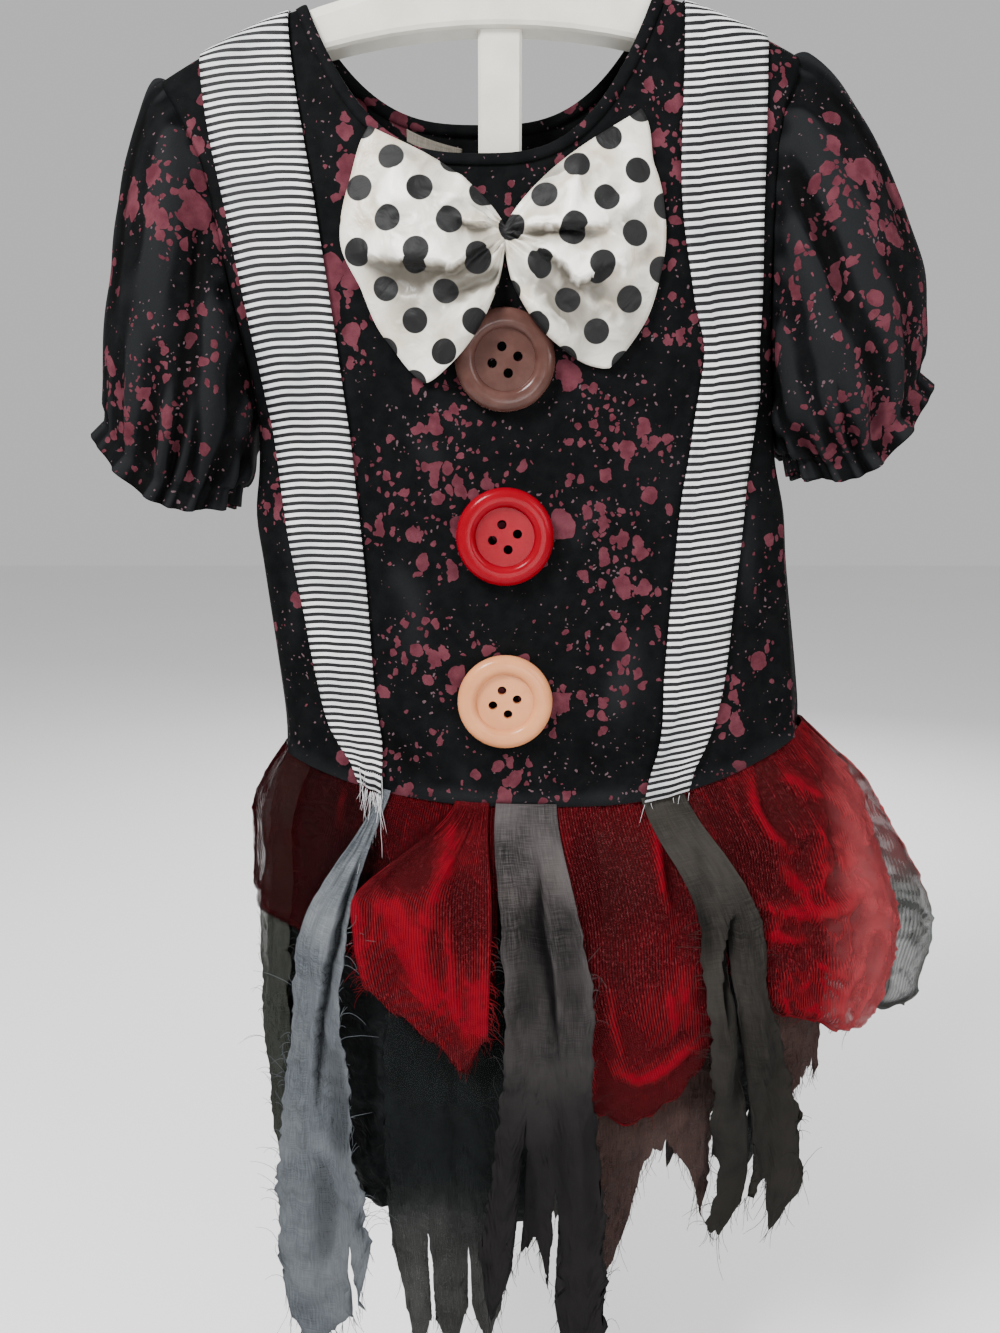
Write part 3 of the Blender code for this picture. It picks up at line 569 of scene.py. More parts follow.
def stripes():
    made = newMaterial("striped ribbon", 0.6, 0.2)
    wander = noiseOf(uvPlace((60, 12, 1)), 1.0, 1.0)
    wander = times(wander, ribbon["wander"], -ribbon["wander"] / 2)
    phase = cellOf(axisOf(uvPlace(), "Y"), ribbon["pitch"] * mm, wander)
    full = ribbon["start"] + ribbon["edge"]
    end = full + ribbon["black"]
    ink = hump(phase, (ribbon["start"], full), (end - ribbon["edge"], end))
    grime = patchesOf(objectPlace(), 0.03, 3.0, 0.25, 0.75)
    white = blend(grime, ribbon["grimy"], ribbon["white"])
    feed("Base Color", blend(ink, white, ribbon["ink"]))
    ribs = put("TexWave", {"Vector": uvPlace(inMm), "Scale": 0.55, "Distortion": 0.6}, bands_direction="Y")
    bumpOf(ribs.outputs["Fac"], 0.00015, 0.5)
    return made


satinLook = {
    "pitch": 23.0,  # of the dots, in mm, with their radius and the turn of their rows in degrees
    "radius": 6.9,
    "turn": 48.0,
    "edge": 0.25,
    "dots": (0.0025, 0.0025, 0.003),
    "cloth": (0.62, 0.59, 0.515),
    "stain": (0.45, 0.365, 0.25),
    "smudge": (0.52, 0.43, 0.33),
    # painted light on raised folds, then painted shade in the hollows
    "ridge": (0.98, 0.95, 0.87),
    "hollow": (0.20, 0.185, 0.155),
    "shade": (0.10, 0.085, 0.065),
    "roughness": 0.36,
    "dotRougher": 0.3,
    "shine": 0.3,
    "grain": 0.4,  # how far the sheen is drawn out along the threads
}


def dottedSatin():
    look = satinLook
    made = newMaterial("dotted satin", look["roughness"], look["shine"])
    feed("Anisotropic", look["grain"])
    place = placeOn(uvPlace(inMm), turn=look["turn"])
    away = []
    for axis in "XY":
        cell = cellOf(axisOf(place, axis), look["pitch"])
        away.append(times(minus(cell, 0.5), look["pitch"]))
    squares = [calc("POWER", calc("ABSOLUTE", part), 2.0) for part in away]
    away = calc("SQRT", plus(*squares))
    inner, outer = look["radius"] - look["edge"], look["radius"] + look["edge"]
    dot = minus(1.0, band(away, inner, outer))
    body = objectPlace()
    stain = band(noiseOf(body, 0.022, 4.0, 0.65), 0.46, 0.72)
    smudge = band(noiseOf(body, 0.05, 5.0, 0.7), 0.55, 0.7)
    # painted light and shade of the folds and unevenness: lighter where raised, darker in hollows, with
    # painted shade beside the creases
    ridge = mark("ridge")
    cloth = layered(look, "cloth", stain=stain, smudge=times(smudge, 0.3), ridge=band(ridge, 0.5, 1.0),
                    hollow=band(ridge, 0.5, 0.0), shade=mark("shade"))
    feed("Roughness", times(dot, look["dotRougher"], look["roughness"]))
    feed("Base Color", blend(dot, cloth, look["dots"]))
    first = bumpOf(noiseOf(body, 0.07, 3.0, 0.5, 1.2), 0.003, 0.45)
    bumpOf(noiseOf(body, 2.2, 1.0), 0.0001, 0.3, first)
    return made


# a sheer ribbed mesh; where the dense mark is high the mesh is doubled and brighter
meshLook = {
    "ribPitch": 1.55,
    "stitchPitch": 1.1,
    "stitchShare": 0.45,
    "roughness": 0.9,
    "shine": 0.03,
    "weight": 0.46,  # how much more the ribs cover than the gaps between them
    "denseCover": 0.6,
    "gap": (0.008, 0.0010, 0.0014),
    "strand": (0.052, 0.0030, 0.0044),
    "glint": (0.140, 0.026, 0.030),
    "glintShare": 0.42,
    "doubledGap": (0.034, 0.0018, 0.0030),
    "doubledStrand": (0.105, 0.0030, 0.0065),
    "doubledGlint": (0.200, 0.010, 0.016),
    "doubledGlintShare": 0.22,
    # brighter red on the most doubled parts: partly the doubled weave, partly a painted highlight
    "doubledCrestHighlight": (0.135, 0.0020, 0.0065),
    "shade": (0.004, 0.0005, 0.0006),
}
# painted light where light falls in from the side: the mesh is painted paler and grows thinner between these
# two places, in mm
sideLight = {
    "from": 198.0, "to": 236.0, "colour": (0.25, 0.040, 0.045), "share": 0.85,
    "thinner": 0.12, "weight": -0.3,
}
sheerTail = {"from": -578.0, "colour": (0.058, 0.064, 0.058), "band": (50.0, -15.0)}


def netOf():
    # the net of ribs and the stitches across them
    bend = times(noiseOf(uvPlace((30, 6, 1)), 1.0, 2.0), 2.4)
    ribs = cellOf(axisOf(uvPlace(), "X"), meshLook["ribPitch"] * mm, bend)
    stitches = cellOf(axisOf(uvPlace(), "Y"), meshLook["stitchPitch"] * mm)
    stitches = hump(stitches, (0.0, 0.3), (0.6, 0.9))
    return calc("MAXIMUM", hump(ribs, (0.05, 0.3), (0.55, 0.8)), times(stitches, meshLook["stitchShare"]))


def redMesh(name, thin, rosy=0.0, depth=1.0, rich=1.0, sideLit=None, tail=None):
    # thin is how much the mesh covers, rosy, depth and rich change its reds; a low depth and rich give a
    # darker copy, which paints shade
    look = meshLook
    made = newMaterial(name, look["roughness"], look["shine"])
    net = netOf()
    body = objectPlace()
    patchy = times(noiseOf(body, 0.14, 3.0), 1.1, 0.40)
    dense = times(mark("dense"), patchy, clamp=True)
    cover = times(patchesOf(body, 0.035, 3.0, 0.3, 0.75), 0.12, thin)
    weight = look["weight"]
    if sideLit:
        sideways = times(noiseOf(body, 0.06, 2.0), 24.0, axisOf(body, "X"))
        sideways = band(sideways, sideLit["from"], sideLit["to"])
        weight = times(sideways, sideLit["weight"], weight)
    cover = plus(cover, times(minus(net, 0.5), weight))
    cover = plus(cover, times(dense, look["denseCover"]), clamp=True)
    gap, strand = (tuple(depth * part + share * rosy for part, share in zip(look[key], (1, 0.3, 0.3)))
                   for key in ("gap", "strand"))
    grain = times(noiseOf(body, 0.9, 2.0), 0.4, times(net, 0.7), clamp=True)
    # painted glints: short pale dashes on the ribs, standing in for light caught by the threads
    glint = times(patchesOf(uvPlace((850, 380, 1)), 1.0, 1.0, 0.50, 0.66), net)
    dull = blend(grain, gap, strand)
    dull = blend(times(glint, look["glintShare"] * min(1.0, depth)), dull, look["glint"])
    bright = blend(net, tinted(look["doubledGap"], rich), tinted(look["doubledStrand"], rich))
    bright = blend(times(glint, look["doubledGlintShare"]), bright, look["doubledGlint"])
    colour = blend(dense, dull, bright)
    # brighter red where the mesh is most doubled, on fold crests and the curled hem: partly the doubled
    # weave, partly a painted highlight
    doubledCrestHighlight = times(band(dense, 0.6, 1.0), times(net, 0.5, 0.3))
    colour = blend(doubledCrestHighlight, colour, tinted(look["doubledCrestHighlight"], rich))
    # painted light from the side: the mesh is painted paler there, and it is thinner
    if sideLit:
        colour = blend(times(sideways, sideLit["share"]), colour, sideLit["colour"])
        cover = minus(cover, times(sideways, sideLit["thinner"]), clamp=True)
    colour = blend(mark("shade"), colour, look["shade"])
    if tail:
        low = times(noiseOf(body, 0.05, 2.0), 30.0, axisOf(body, "Z"))
        start, end = (tail["from"] + step for step in tail["band"])
        colour = blend(band(low, start, end), colour, tail["colour"])
    feed("Base Color", colour)
    feed("Alpha", cover)
    bumpOf(net, 0.0003, 0.5)
    return made


# thin woven strips, mottled, with threads that show along the weave: dark and light are the mottling,
# warm shifts its tint, cover is how much it hides, and lower is how much painted shade darkens it towards the
# hem
stripCloths = {
    "grey": {
        "name": "grey torn cloth", "dark": (0.0085, 0.0078, 0.0080), "light": (0.060, 0.053, 0.053),
        "warm": (0.008, 0.004, 0.0), "seed": 1, "lower": 0.95,
    },
    "darkGrey": {
        "name": "dark grey torn cloth", "dark": (0.0088, 0.0082, 0.0074), "light": (0.029, 0.026, 0.023),
        "warm": (0.003, 0.002, -0.003), "seed": 2,
    },
    "paleVoile": {
        "name": "pale blue grey voile", "dark": (0.044, 0.050, 0.058), "light": (0.115, 0.124, 0.132),
        "warm": (0.01, 0.013, 0.018), "seed": 3, "lower": 0.4, "cover": 0.96,
    },
    "underGrey": {
        "name": "sheer grey under layer", "dark": (0.004, 0.0048, 0.005), "light": (0.016, 0.018, 0.018),
        "warm": (0.003, 0.005, 0.0), "seed": 4, "cover": 0.66,
        "ends": {"from": -765.0, "colour": (0.036, 0.036, 0.034), "band": (40.0, -35.0)},
    },
    "underDusky": {
        "name": "dusky sheer under layer", "dark": (0.021, 0.0125, 0.0110), "light": (0.084, 0.052, 0.046),
        "warm": (0.010, 0.0, 0.0), "seed": 7, "cover": 0.66,
    },
    "olive": {
        "name": "sheer olive grey", "dark": (0.015, 0.0165, 0.014), "light": (0.038, 0.040, 0.034),
        "warm": (0.004, 0.006, 0.0), "seed": 5, "cover": 0.70,
    },
    "labelTape": {
        "name": "woven label tape", "dark": (0.10, 0.09, 0.075), "light": (0.17, 0.155, 0.13), "seed": 6,
    },
    "redThread": {
        "name": "loose red thread", "dark": (0.05, 0.002, 0.003), "light": (0.17, 0.009, 0.014), "seed": 9,
    },
    "whiteThread": {
        "name": "loose white thread", "dark": (0.34, 0.34, 0.35), "light": (0.55, 0.55, 0.56), "seed": 8,
    },
}


def stripCloth(name, dark, light, seed, warm=(0, 0, 0), lower=0.7, cover=1.0, ends=None):
    made = newMaterial(name, 0.92, 0.04)
    body = objectPlace()
    moved = placeOn(body, shift=(seed * 91, seed * 37, seed * 53))
    cloud = band(noiseOf(moved, 0.022, 2.0, 0.5), 0.25, 0.78)
    weave = uvPlace(inMm)
    slub = noiseOf(placeOn(weave, (1.7, 0.07, 1)), 1.0, 2.0)
    cross = noiseOf(placeOn(weave, (0.07, 1.9, 1)), 1.0, 2.0)
    thread = times(plus(slub, cross), 0.5)
    colour = blend(cloud, dark, light)
    worn = times(band(thread, 0.40, 0.64), 0.55)
    colour = blend(worn, colour, tuple(min(1, part) for part in tinted(light, 1.35)))
    tint = times(patchesOf(moved, 0.012, 2.0, 0.5, 0.8), 0.5)
    colour = blend(tint, colour, tuple(max(0, part + extra) for part, extra in zip(light, warm)))
    low = axisOf(body, "Z")
    # painted shade: darker towards the hem, where less light falls
    colour = blend(times(band(low, -540.0, -720.0), lower), colour, dark)
    if ends:
        wander = times(noiseOf(moved, 0.03, 3.0), 50.0, low)
        tip = blend(cloud, tinted(ends["colour"], 0.45), ends["colour"])
        start, end = (ends["from"] + step for step in ends["band"])
        colour = blend(band(wander, start, end), colour, tip)
    colour = blend(mark("shade"), colour, tinted(dark, 0.16))
    feed("Base Color", colour)
    if cover < 1:
        alpha = times(band(thread, 0.36, 0.6), 0.14, cover - 0.10)
        alpha = plus(alpha, times(mark("dense"), 0.3), clamp=True)
        feed("Alpha", alpha)
    first = bumpOf(thread, 0.0004, 0.5)
    bumpOf(noiseOf(moved, 0.09, 2.0), 0.0015, 0.25, first)
    return made


# dark and light vary at random; the third colour is painted light on the raised parts of the crinkles
liningLook = {
    "dark": (0.0010, 0.0013, 0.0015), "light": (0.0030, 0.0038, 0.0040), "worn": (0.013, 0.015, 0.0155),
}


def liningCloth():
    made = newMaterial("crinkled black lining", 0.6, 0.08)
    body = objectPlace()
    tone = patchesOf(body, 0.03, 4.0, 0.3, 0.75)
    # painted light on the raised parts of the crinkles, in patches
    worn = times(mark("crease"), patchesOf(body, 0.2, 3.0, 0.25, 0.6))
    feed("Base Color", layered(liningLook, "dark", light=tone, worn=worn))
    bumpOf(noiseOf(body, 0.09, 4.0, 0.5, 1.6), 0.003, 0.7)
    return made


plastics = {
    "hanger": {
        "name": "off white moulded plastic", "base": (0.67, 0.645, 0.575), "deep": (0.58, 0.555, 0.48),
        "roughness": 0.34, "clouds": 0.04, "shine": 0.25,
    },
    "button_brown": {
        "name": "brown button plastic", "base": (0.078, 0.036, 0.029), "deep": (0.054, 0.023, 0.018),
        "roughness": 0.20, "clouds": 0.09, "shine": 0.18,
    },
    "button_red": {
        "name": "red button plastic", "base": (0.205, 0.0003, 0.0070), "deep": (0.170, 0.0003, 0.0055),
        "roughness": 0.20, "clouds": 0.05, "shine": 0.08,
    },
    "button_peach": {
        "name": "peach button plastic", "base": (0.57, 0.235, 0.100), "deep": (0.50, 0.200, 0.085),
        "roughness": 0.22, "clouds": 0.05, "shine": 0.18,
    },
}


def plastic(name, base, deep, roughness, clouds, shine):
    made = newMaterial(name, roughness, shine)
    body = objectPlace()
    feed("Base Color", blend(patchesOf(body, clouds, 3.0, 0.3, 0.75), deep, base))
    scuff = patchesOf(body, 0.6, 4.0, 0.35, 0.8)
    feed("Roughness", times(scuff, 0.1, roughness - 0.03))
    bumpOf(noiseOf(body, 0.25, 2.0), 0.0002, 0.25)
    return made


def plainFloor():
    made = newMaterial("pale floor", 0.9)
    cloud = noiseOf(objectPlace(1.0), 1.2, 2.0)
    feed("Base Color", blend(cloud, (0.86, 0.86, 0.86), (0.9, 0.9, 0.9)))
    return made


blackCloth = blackPrint()
stripedRibbon = stripes()
satin = dottedSatin()
meshRed = redMesh("red ribbed mesh", thin=0.46, sideLit=sideLight)
# a darker copy of the red mesh, as painted shade, for the left puff and the back left
meshShaded = redMesh("deep red mesh", thin=0.30, depth=0.35, rich=0.7)
meshBright = redMesh("bright red mesh", thin=0.48, depth=1.1, rich=1.1)
meshSheer = redMesh("sheer red mesh", thin=0.62, rosy=0.03, depth=1.6, sideLit=sideLight, tail=sheerTail)
woven = {key: stripCloth(**look) for key, look in stripCloths.items()}
lining = liningCloth()
moulded = {key: plastic(**look) for key, look in plastics.items()}
print("materials ready")


# the bodice: front and back panels, which carry the straps and the neck binding

bodyColumns = ("height", "left", "right", "front", "back", "edge")
strapColumns = ("height", "centre", "width", "backCentre", "backWidth")
bodice = {
    "wall": 0.9,
    "shoulderClear": 0.35,  # half the gap between front and back, at the shoulders and at the sides
    "sideClear": 0.5,
    "shoulderTop": -57.0,
    "shoulderFall": 0.0016,  # drop for each square mm away from the middle
    "shoulderRoll": 14.0,  # radius of the cloth over the hanger
    "shoulderSlope": 140.0,  # distance below it in which the cloth comes out to its full depth
    "tipHeight": {"left": -112.0, "right": -100.0},
    "neckLeft": -109.0,
    "neckRight": 88.0,
    "neckLow": {"front": -161.0, "back": -130.0},
    "neckCurve": 3.0,
    "bodyCurve": 2.6,
    "bindingWidth": 4.5,
    "bindingLap": 1.6,  # how far the binding's tape reaches over the edge
    "bindingWall": 0.7,
    "waistLow": {"front": -515.0, "back": -499.0},
    "waistSide": {"left": -486.0, "right": -471.5},
    "waistCurve": 2.5,
    "waistGap": 0.6,
    "lip": 3.2,  # how far the waist's edge stands out, and how far it drops
    "lipDrop": 2.6,
    "rows": 110,
    "columns": (8, 8, 56, 8, 8),  # between side seam, strap, neck, strap and side seam
    "sections": (  # rows as in bodyColumns
        (-50, -186, 165, 30, 27, 14),
        (-112, -185, 161, 33, 28, 20),
        (-130, -176, 154, 34, 29, 23),
        (-161, -161, 150, 35, 30, 26),
        (-203, -152, 149, 36, 31, 26),
        (-245, -145, 151, 36, 32, 20),
        (-280, -141, 156, 36, 33, 9),
        (-296, -141, 159, 36, 33, 0),
        (-320, -142, 163, 36, 33, 0),
        (-346, -145, 169, 36, 33, 0),
        (-375, -142, 172, 36, 33, 0),
        (-461, -133, 184, 36, 33, 0),
        (-486, -132, 185, 36, 33, 0),
        (-530, -132, 185, 36, 33, 0),
    ),
    # soft folds of the front: three places as x and z, then half width and height
    "frontFolds": (
        fold(((-60, -180), (-64, -215), (-58, -250)), 9, 1.6),
        fold(((70, -170), (78, -215), (72, -255)), 9, 1.8),
        fold(((-62, -300), (-40, -312), (-36, -330)), 8, 1.8),
        fold(((-66, -370), (-48, -400), (-56, -440)), 8, 2.0),
        fold(((62, -330), (50, -350), (40, -375)), 8, 1.8),
        fold(((84, -400), (70, -440), (62, -480)), 10, 2.4),
        fold(((-70, -460), (-60, -485), (-40, -500)), 8, -1.8),
        fold(((40, -470), (56, -490), (66, -505)), 7, -1.6),
        fold(((-28, -490), (-20, -500), (-16, -512)), 5, 1.4),
        fold(((28, -488), (22, -500), (20, -512)), 5, 1.3),
        fold(((150, -320), (142, -360), (150, -420)), 8, 2.2),
        fold(((-126, -330), (-120, -380), (-124, -440)), 7, 2.0),
    ),
    "backFolds": (
        fold(((-60, -170), (-40, -230), (-52, -300)), 12, 2.2),
        fold(((20, -160), (8, -240), (16, -320)), 12, 1.8),
        fold(((70, -180), (60, -260), (74, -330)), 12, 2.2),
        fold(((-20, -330), (-32, -400), (-20, -470)), 10, -1.8),
        fold(((50, -350), (40, -420), (52, -480)), 10, 2.2),
        fold(((-70, -400), (-60, -440), (-66, -490)), 9, 2.0),
        fold(((140, -330), (130, -390), (140, -450)), 8, 2.0),
        fold(((-124, -330), (-116, -390), (-120, -440)), 7, -1.6),
    ),
}
straps = {
    "wall": 0.9,
    "lift": 1.5,
    "end": 0.03,  # share of the lowest row of its front by which the end is drawn up
    "pleats": 2.2,
    "columns": 15,
    "threads": {"strap_left": (50, (8, 34)), "strap_right": (5, (3, 9))},  # how many, and their lengths
    "pinch": {"strap_left": (0.42, 0.75, 34), "strap_right": (0.12, 0.3, 30)},  # how much, where to, how high
    "folds": {
        "strap_left": (
            fold(((-112, -476), (-92, -488), (-74, -502)), 5, 2.2),
            fold(((-104, -490), (-90, -500), (-78, -508)), 3, -1.8),
            fold(((-128, -150), (-118, -168), (-98, -172)), 7, 1.4),
            fold(((-110, -300), (-98, -312), (-88, -312)), 8, 1.6),
        ),
        "strap_right": (
            fold(((122, -462), (108, -470), (90, -472)), 4, -2.6),
            fold(((124, -478), (108, -484), (86, -488)), 6, 2.4),
            fold(((104, -455), (96, -480), (88, -505)), 4, 2.0),
            fold(((112, -300), (104, -318), (96, -322)), 8, 1.6),
        ),
    },
    "strap_left": (  # rows as in strapColumns
        (-60, -137, 48, -137, 48),
        (-102, -136.5, 48, -136, 47),
        (-178, -123, 46.5, -124, 46),
        (-283, -108, 44.5, -108, 46),
        (-338, -102, 43.5, -100, 46),
        (-395, -95.5, 39.5, -92, 44),
        (-454, -89.5, 34, -84, 42),
        (-491, -82, 28, -79, 40),
        (-520, -76, 16, -76, 36),
    ),
    "strap_right": (
        (-60, 121.5, 45, 121.5, 45),
        (-102, 121, 45, 121, 45),
        (-178, 119.5, 45, 116, 45),
        (-230, 124, 38, 112, 45),
        (-256, 127.5, 31.5, 110, 45),
        (-283, 127.5, 36, 109, 45),
        (-338, 120.5, 37.5, 107, 45),
        (-424, 114, 37.5, 106, 44),
        (-460, 111, 33, 106, 42),
        (-490, 101, 30, 106, 40),
        (-520, 92, 30, 106, 36),
    ),
}
splashes = (  # where paint has splashed: x, z, radius and strength
    (-70, -215, 45, 0.8), (78, -200, 40, 0.7), (-45, -330, 40, 0.8), (60, -330, 45, 0.8),
    (-30, -430, 45, 0.9), (60, -440, 45, 0.9), (-170, -180, 40, 0.6), (-190, -290, 45, 0.8),
    (200, -190, 45, 0.7), (215, -280, 45, 0.8), (-20, -500, 40, 0.8),
)

bodyCurves = {key: tableCurve(bodice["sections"], place) for place, key in enumerate(bodyColumns)}
strapCurves = {(name, key): tableCurve(straps[name], place) for name in ("strap_left", "strap_right")
               for place, key in enumerate(strapColumns)}


def shoulderHeight(x):
    return bodice["shoulderTop"] - bodice["shoulderFall"] * x * x


def neckHeight(x, face):
    middle = (bodice["neckLeft"] + bodice["neckRight"]) / 2
    half = (bodice["neckRight"] - bodice["neckLeft"]) / 2
    across = np.minimum(1, np.abs(x - middle) / half)
    shoulder = np.where(x < middle, shoulderHeight(bodice["neckLeft"]), shoulderHeight(bodice["neckRight"]))
    return mix(bodice["neckLow"][face], shoulder, across ** bodice["neckCurve"])


def topHeight(x, face):
    inNeck = (bodice["neckLeft"] < x) & (x < bodice["neckRight"])
    return np.where(inNeck, neckHeight(x, face), shoulderHeight(x))


def waistHeight(across, face):
    side = np.where(across < 0, bodice["waistSide"]["left"], bodice["waistSide"]["right"])
    return mix(bodice["waistLow"][face], side, np.minimum(1, np.abs(across)) ** bodice["waistCurve"])


def bodyDepth(x, z, face):
    left, right = bodyCurves["left"](z), bodyCurves["right"](z)
    across = np.minimum(1, np.abs(2 * x - left - right) / (right - left))
    crown = (1 - across ** bodice["bodyCurve"]) ** (1 / bodice["bodyCurve"])
    full = mix(bodyCurves["edge"](z), bodyCurves[face](z), crown)
    drop = np.maximum(0, shoulderHeight(x) - z)
    roll = np.minimum(bodice["shoulderRoll"], full)
    rolled = np.sqrt(np.maximum(0, roll ** 2 - (roll - drop) ** 2))
    settled = np.minimum(1, (drop - roll) / bodice["shoulderSlope"])
    hung = np.maximum(bodice["sideClear"], mix(full, roll, (1 - settled) ** 2))
    return np.where(drop < roll, np.maximum(bodice["shoulderClear"], rolled), hung)


def sidePlace(side, down):
    return bodyCurves[side](mix(bodice["tipHeight"][side], bodice["waistSide"][side], down))


def panelPoints(across, down, face):
    x = mix(sidePlace("left", down), sidePlace("right", down), across)
    top = topHeight(mix(sidePlace("left", 0), sidePlace("right", 0), across), face)
    z = mix(top, waistHeight(2 * across - 1, face), down)
    depth = bodyDepth(x, z, face)
    return np.stack([x, -depth if face == "front" else depth, z], -1)


def gridMarks(down, face):
    # the panel's edges and the straps' edges, from left to right
    marks = [sidePlace("left", down)]
    for name, across in (("strap_left", 0.15), ("strap_right", 0.85)):
        z = panelPoints(np.full_like(down, across), down, face)[..., 2]
        centre = strapCurves[name, "centre" if face == "front" else "backCentre"](z)
        width = strapCurves[name, "width" if face == "front" else "backWidth"](z)
        marks += [centre - width / 2, centre + width / 2]
    return marks + [sidePlace("right", down)]


def panelLines():
    # each upright grid line as (stretch, share of it)
    counts = bodice["columns"]
    lines = []
    for stretch in (0, 1):
        lines += [(stretch, step / counts[stretch]) for step in range(counts[stretch] + stretch)]
    start = np.zeros(1)
    marks = [float(mark[0]) for mark in gridMarks(start, "front")]
    middle = (bodice["neckLeft"] + bodice["neckRight"]) / 2
    half = (bodice["neckRight"] - bodice["neckLeft"]) / 2
    for step in range(counts[2] + 1):
        share = 2 * step / counts[2] - 1
        x = middle + half * np.sign(share) * (1 - (1 - abs(share)) ** 1.7)
        lines.append((2, (x - marks[2]) / (marks[3] - marks[2])))
    lines += [(3, step / counts[3]) for step in range(counts[3] + 1)]
    return lines + [(4, (step + 1) / counts[4]) for step in range(counts[4])]


def panelGrid(lines, face):
    # the (across, down) places of the grid, closer together over the shoulders
    t = np.linspace(0, 1, bodice["rows"])
    startMarks = gridMarks(np.zeros(1), face)
    acrossGrid, downGrid = [], []
    for stretch, share in lines:
        topX = float(mix(startMarks[stretch], startMarks[stretch + 1], share)[0])
        underNeck = smooth((shoulderHeight(topX) - float(topHeight(topX, face))) / 30)
        down = mix(t ** 2.4, t ** 1.5, underNeck)
        marks = gridMarks(down, face)
        x = mix(marks[stretch], marks[stretch + 1], share)
        acrossGrid.append((x - marks[0]) / (marks[-1] - marks[0]))
        downGrid.append(down)
    return np.array(acrossGrid), np.array(downGrid)


def bodiceRelief(points, face):
    # folds and soft unevenness, which die out at the seams, the shoulders and under the buttons
    x, z = points[..., 0], points[..., 2]
    relief, _, _ = foldRelief(bodice[face + "Folds"], x, z)
    relief = relief + 1.3 * ripple(points, 38, 3 if face == "front" else 8) + 0.5 * ripple(points, 15, 5)
    keep = smooth((shoulderHeight(x) - z - 16) / 60)
    left, right = bodyCurves["left"](z), bodyCurves["right"](z)
    keep = keep * smooth((np.minimum(x - left, right - x) - 2) / 14)
    if face == "front":
        for button in buttons["places"]:
            away = np.hypot(x - button.x, z - button.z)
            keep = keep * smooth((away - buttons["radius"] + 2) / 9)
        keep = keep * (1 - 0.8 * np.exp(-((z - bow["z"]) / 45) ** 4) * (np.abs(x) < 100))
    neck = np.abs(z - topHeight(x, face))
    side = np.abs(2 * x - left - right) / (right - left)
    waist = z - waistHeight(np.sign(2 * x - left - right) * np.minimum(1, side), face)
    lip = bodice["lip"] * smooth(1 - waist / 9) * smooth((1 - side) / 0.04)
    return relief * keep * smooth(neck / 9) + lip


def splashMark(points):
    total = np.zeros(points.shape[:2])
    for x, z, radius, strength in splashes:
        away = np.hypot(points[..., 0] - x, points[..., 2] - z)
        total = np.maximum(total, strength * np.exp(-(away / radius) ** 2))
    return total


def bodicePoints(lines, face, lift=0.0):
    across, down = panelGrid(lines, face)
    points = panelPoints(across, down, face)
    normals = gridNormals(points) * (1 if face == "front" else -1)
    points[..., 2] -= bodice["lipDrop"] * smooth((down - 0.97) / 0.03)
    return points + normals * (bodiceRelief(points, face) + lift)[..., None]


def makeBodice():
    for face in ("front", "back"):
        points = bodicePoints(panelLines(), face)
        # how much light or shade is painted on the cloth: above a half it is lighter on raised folds, below
        # it darker in hollows
        ridge = np.clip(0.5 + bodiceRelief(points, face) / 7, 0, 1)
        marks = {"splash": splashMark(points), "ridge": ridge}
        piece = gridMesh("bodiceCloth_" + face, points, marks=marks, size=(0.34, 0.4))
        finishPiece(piece, blackCloth, ("bodice_" + face,), bodice["wall"])
        cutSheet(points)


def makeNeckBinding():
    # a rolled edge that carries on from the neck, all the way round
    counts = bodice["columns"][2]
    lines = [line for line in panelLines() if line[0] == 2]
    spots, normals = [], []
    for face in ("front", "back"):
        across, down = panelGrid(lines, face)
        points = panelPoints(across, down, face)
        out = gridNormals(points)[:, 0] * (1 if face == "front" else -1)
        edge = points[:, 0]
        order = range(counts + 1) if face == "front" else range(counts - 1, 0, -1)
        spots += [edge[index] for index in order]
        normals += [out[index] for index in order]
    spots, normals = np.array(spots), np.array(normals)
    for index in (0, counts):
        spots[index, 1] = 0
        normals[index] = (2 * bodice["shoulderFall"] * spots[index, 0], 0, 1)
        normals[index] /= np.linalg.norm(normals[index])
    along = np.roll(spots, -1, axis=0) - np.roll(spots, 1, axis=0)
    inward = np.cross(normals, along)
    inward /= np.linalg.norm(inward, axis=1, keepdims=True)
    columns = []
    steps = 12
    for step in range(steps + 1):
        turn = pi * step / steps  # the tape is folded round the edge: outside, over it and back inside
        reach = (bodice["bindingWidth"] + bodice["bindingLap"]) * sin(turn) ** 0.5 - bodice["bindingLap"]
        columns.append(spots + inward * reach + normals * cos(turn))
    points = np.stack(columns, axis=1)
    still = np.zeros(points.shape[:2])
    # an even touch of painted light over the whole rolled edge
    marks = {"splash": still, "ridge": still + 0.6}
    piece = gridMesh("neckBinding", points, ring=True, marks=marks, size=(0.53, 0.011))
    finishPiece(piece, blackCloth, ("neck_binding",), bodice["bindingWall"])
    cutSheet(points, ring=True)


label = {"left": -54, "width": 32, "length": 12, "drop": 2.5, "tilt": 5.5, "lean": 0.55, "wall": 0.6}


def makeLabel():
    right = label["left"] + label["width"]
    x, down = spread(np.linspace(label["left"], right, 18), np.linspace(0, label["length"], 12))
    z = neckHeight(x, "back") - label["drop"] - label["lean"] * down
    z = z - label["tilt"] * (x - label["left"]) / label["width"]
    away = bodice["wall"] / 2 + 1.0 + 0.5 * (down / label["length"]) ** 2
    points = np.stack([x, bodyDepth(x, z, "back") - away, z], -1)
    piece = gridMesh("neckLabel", points, size=(label["width"] * mm, label["length"] * mm))
    finishPiece(piece, woven["labelTape"], ("neck_label",), label["wall"])
    cutSheet(points)


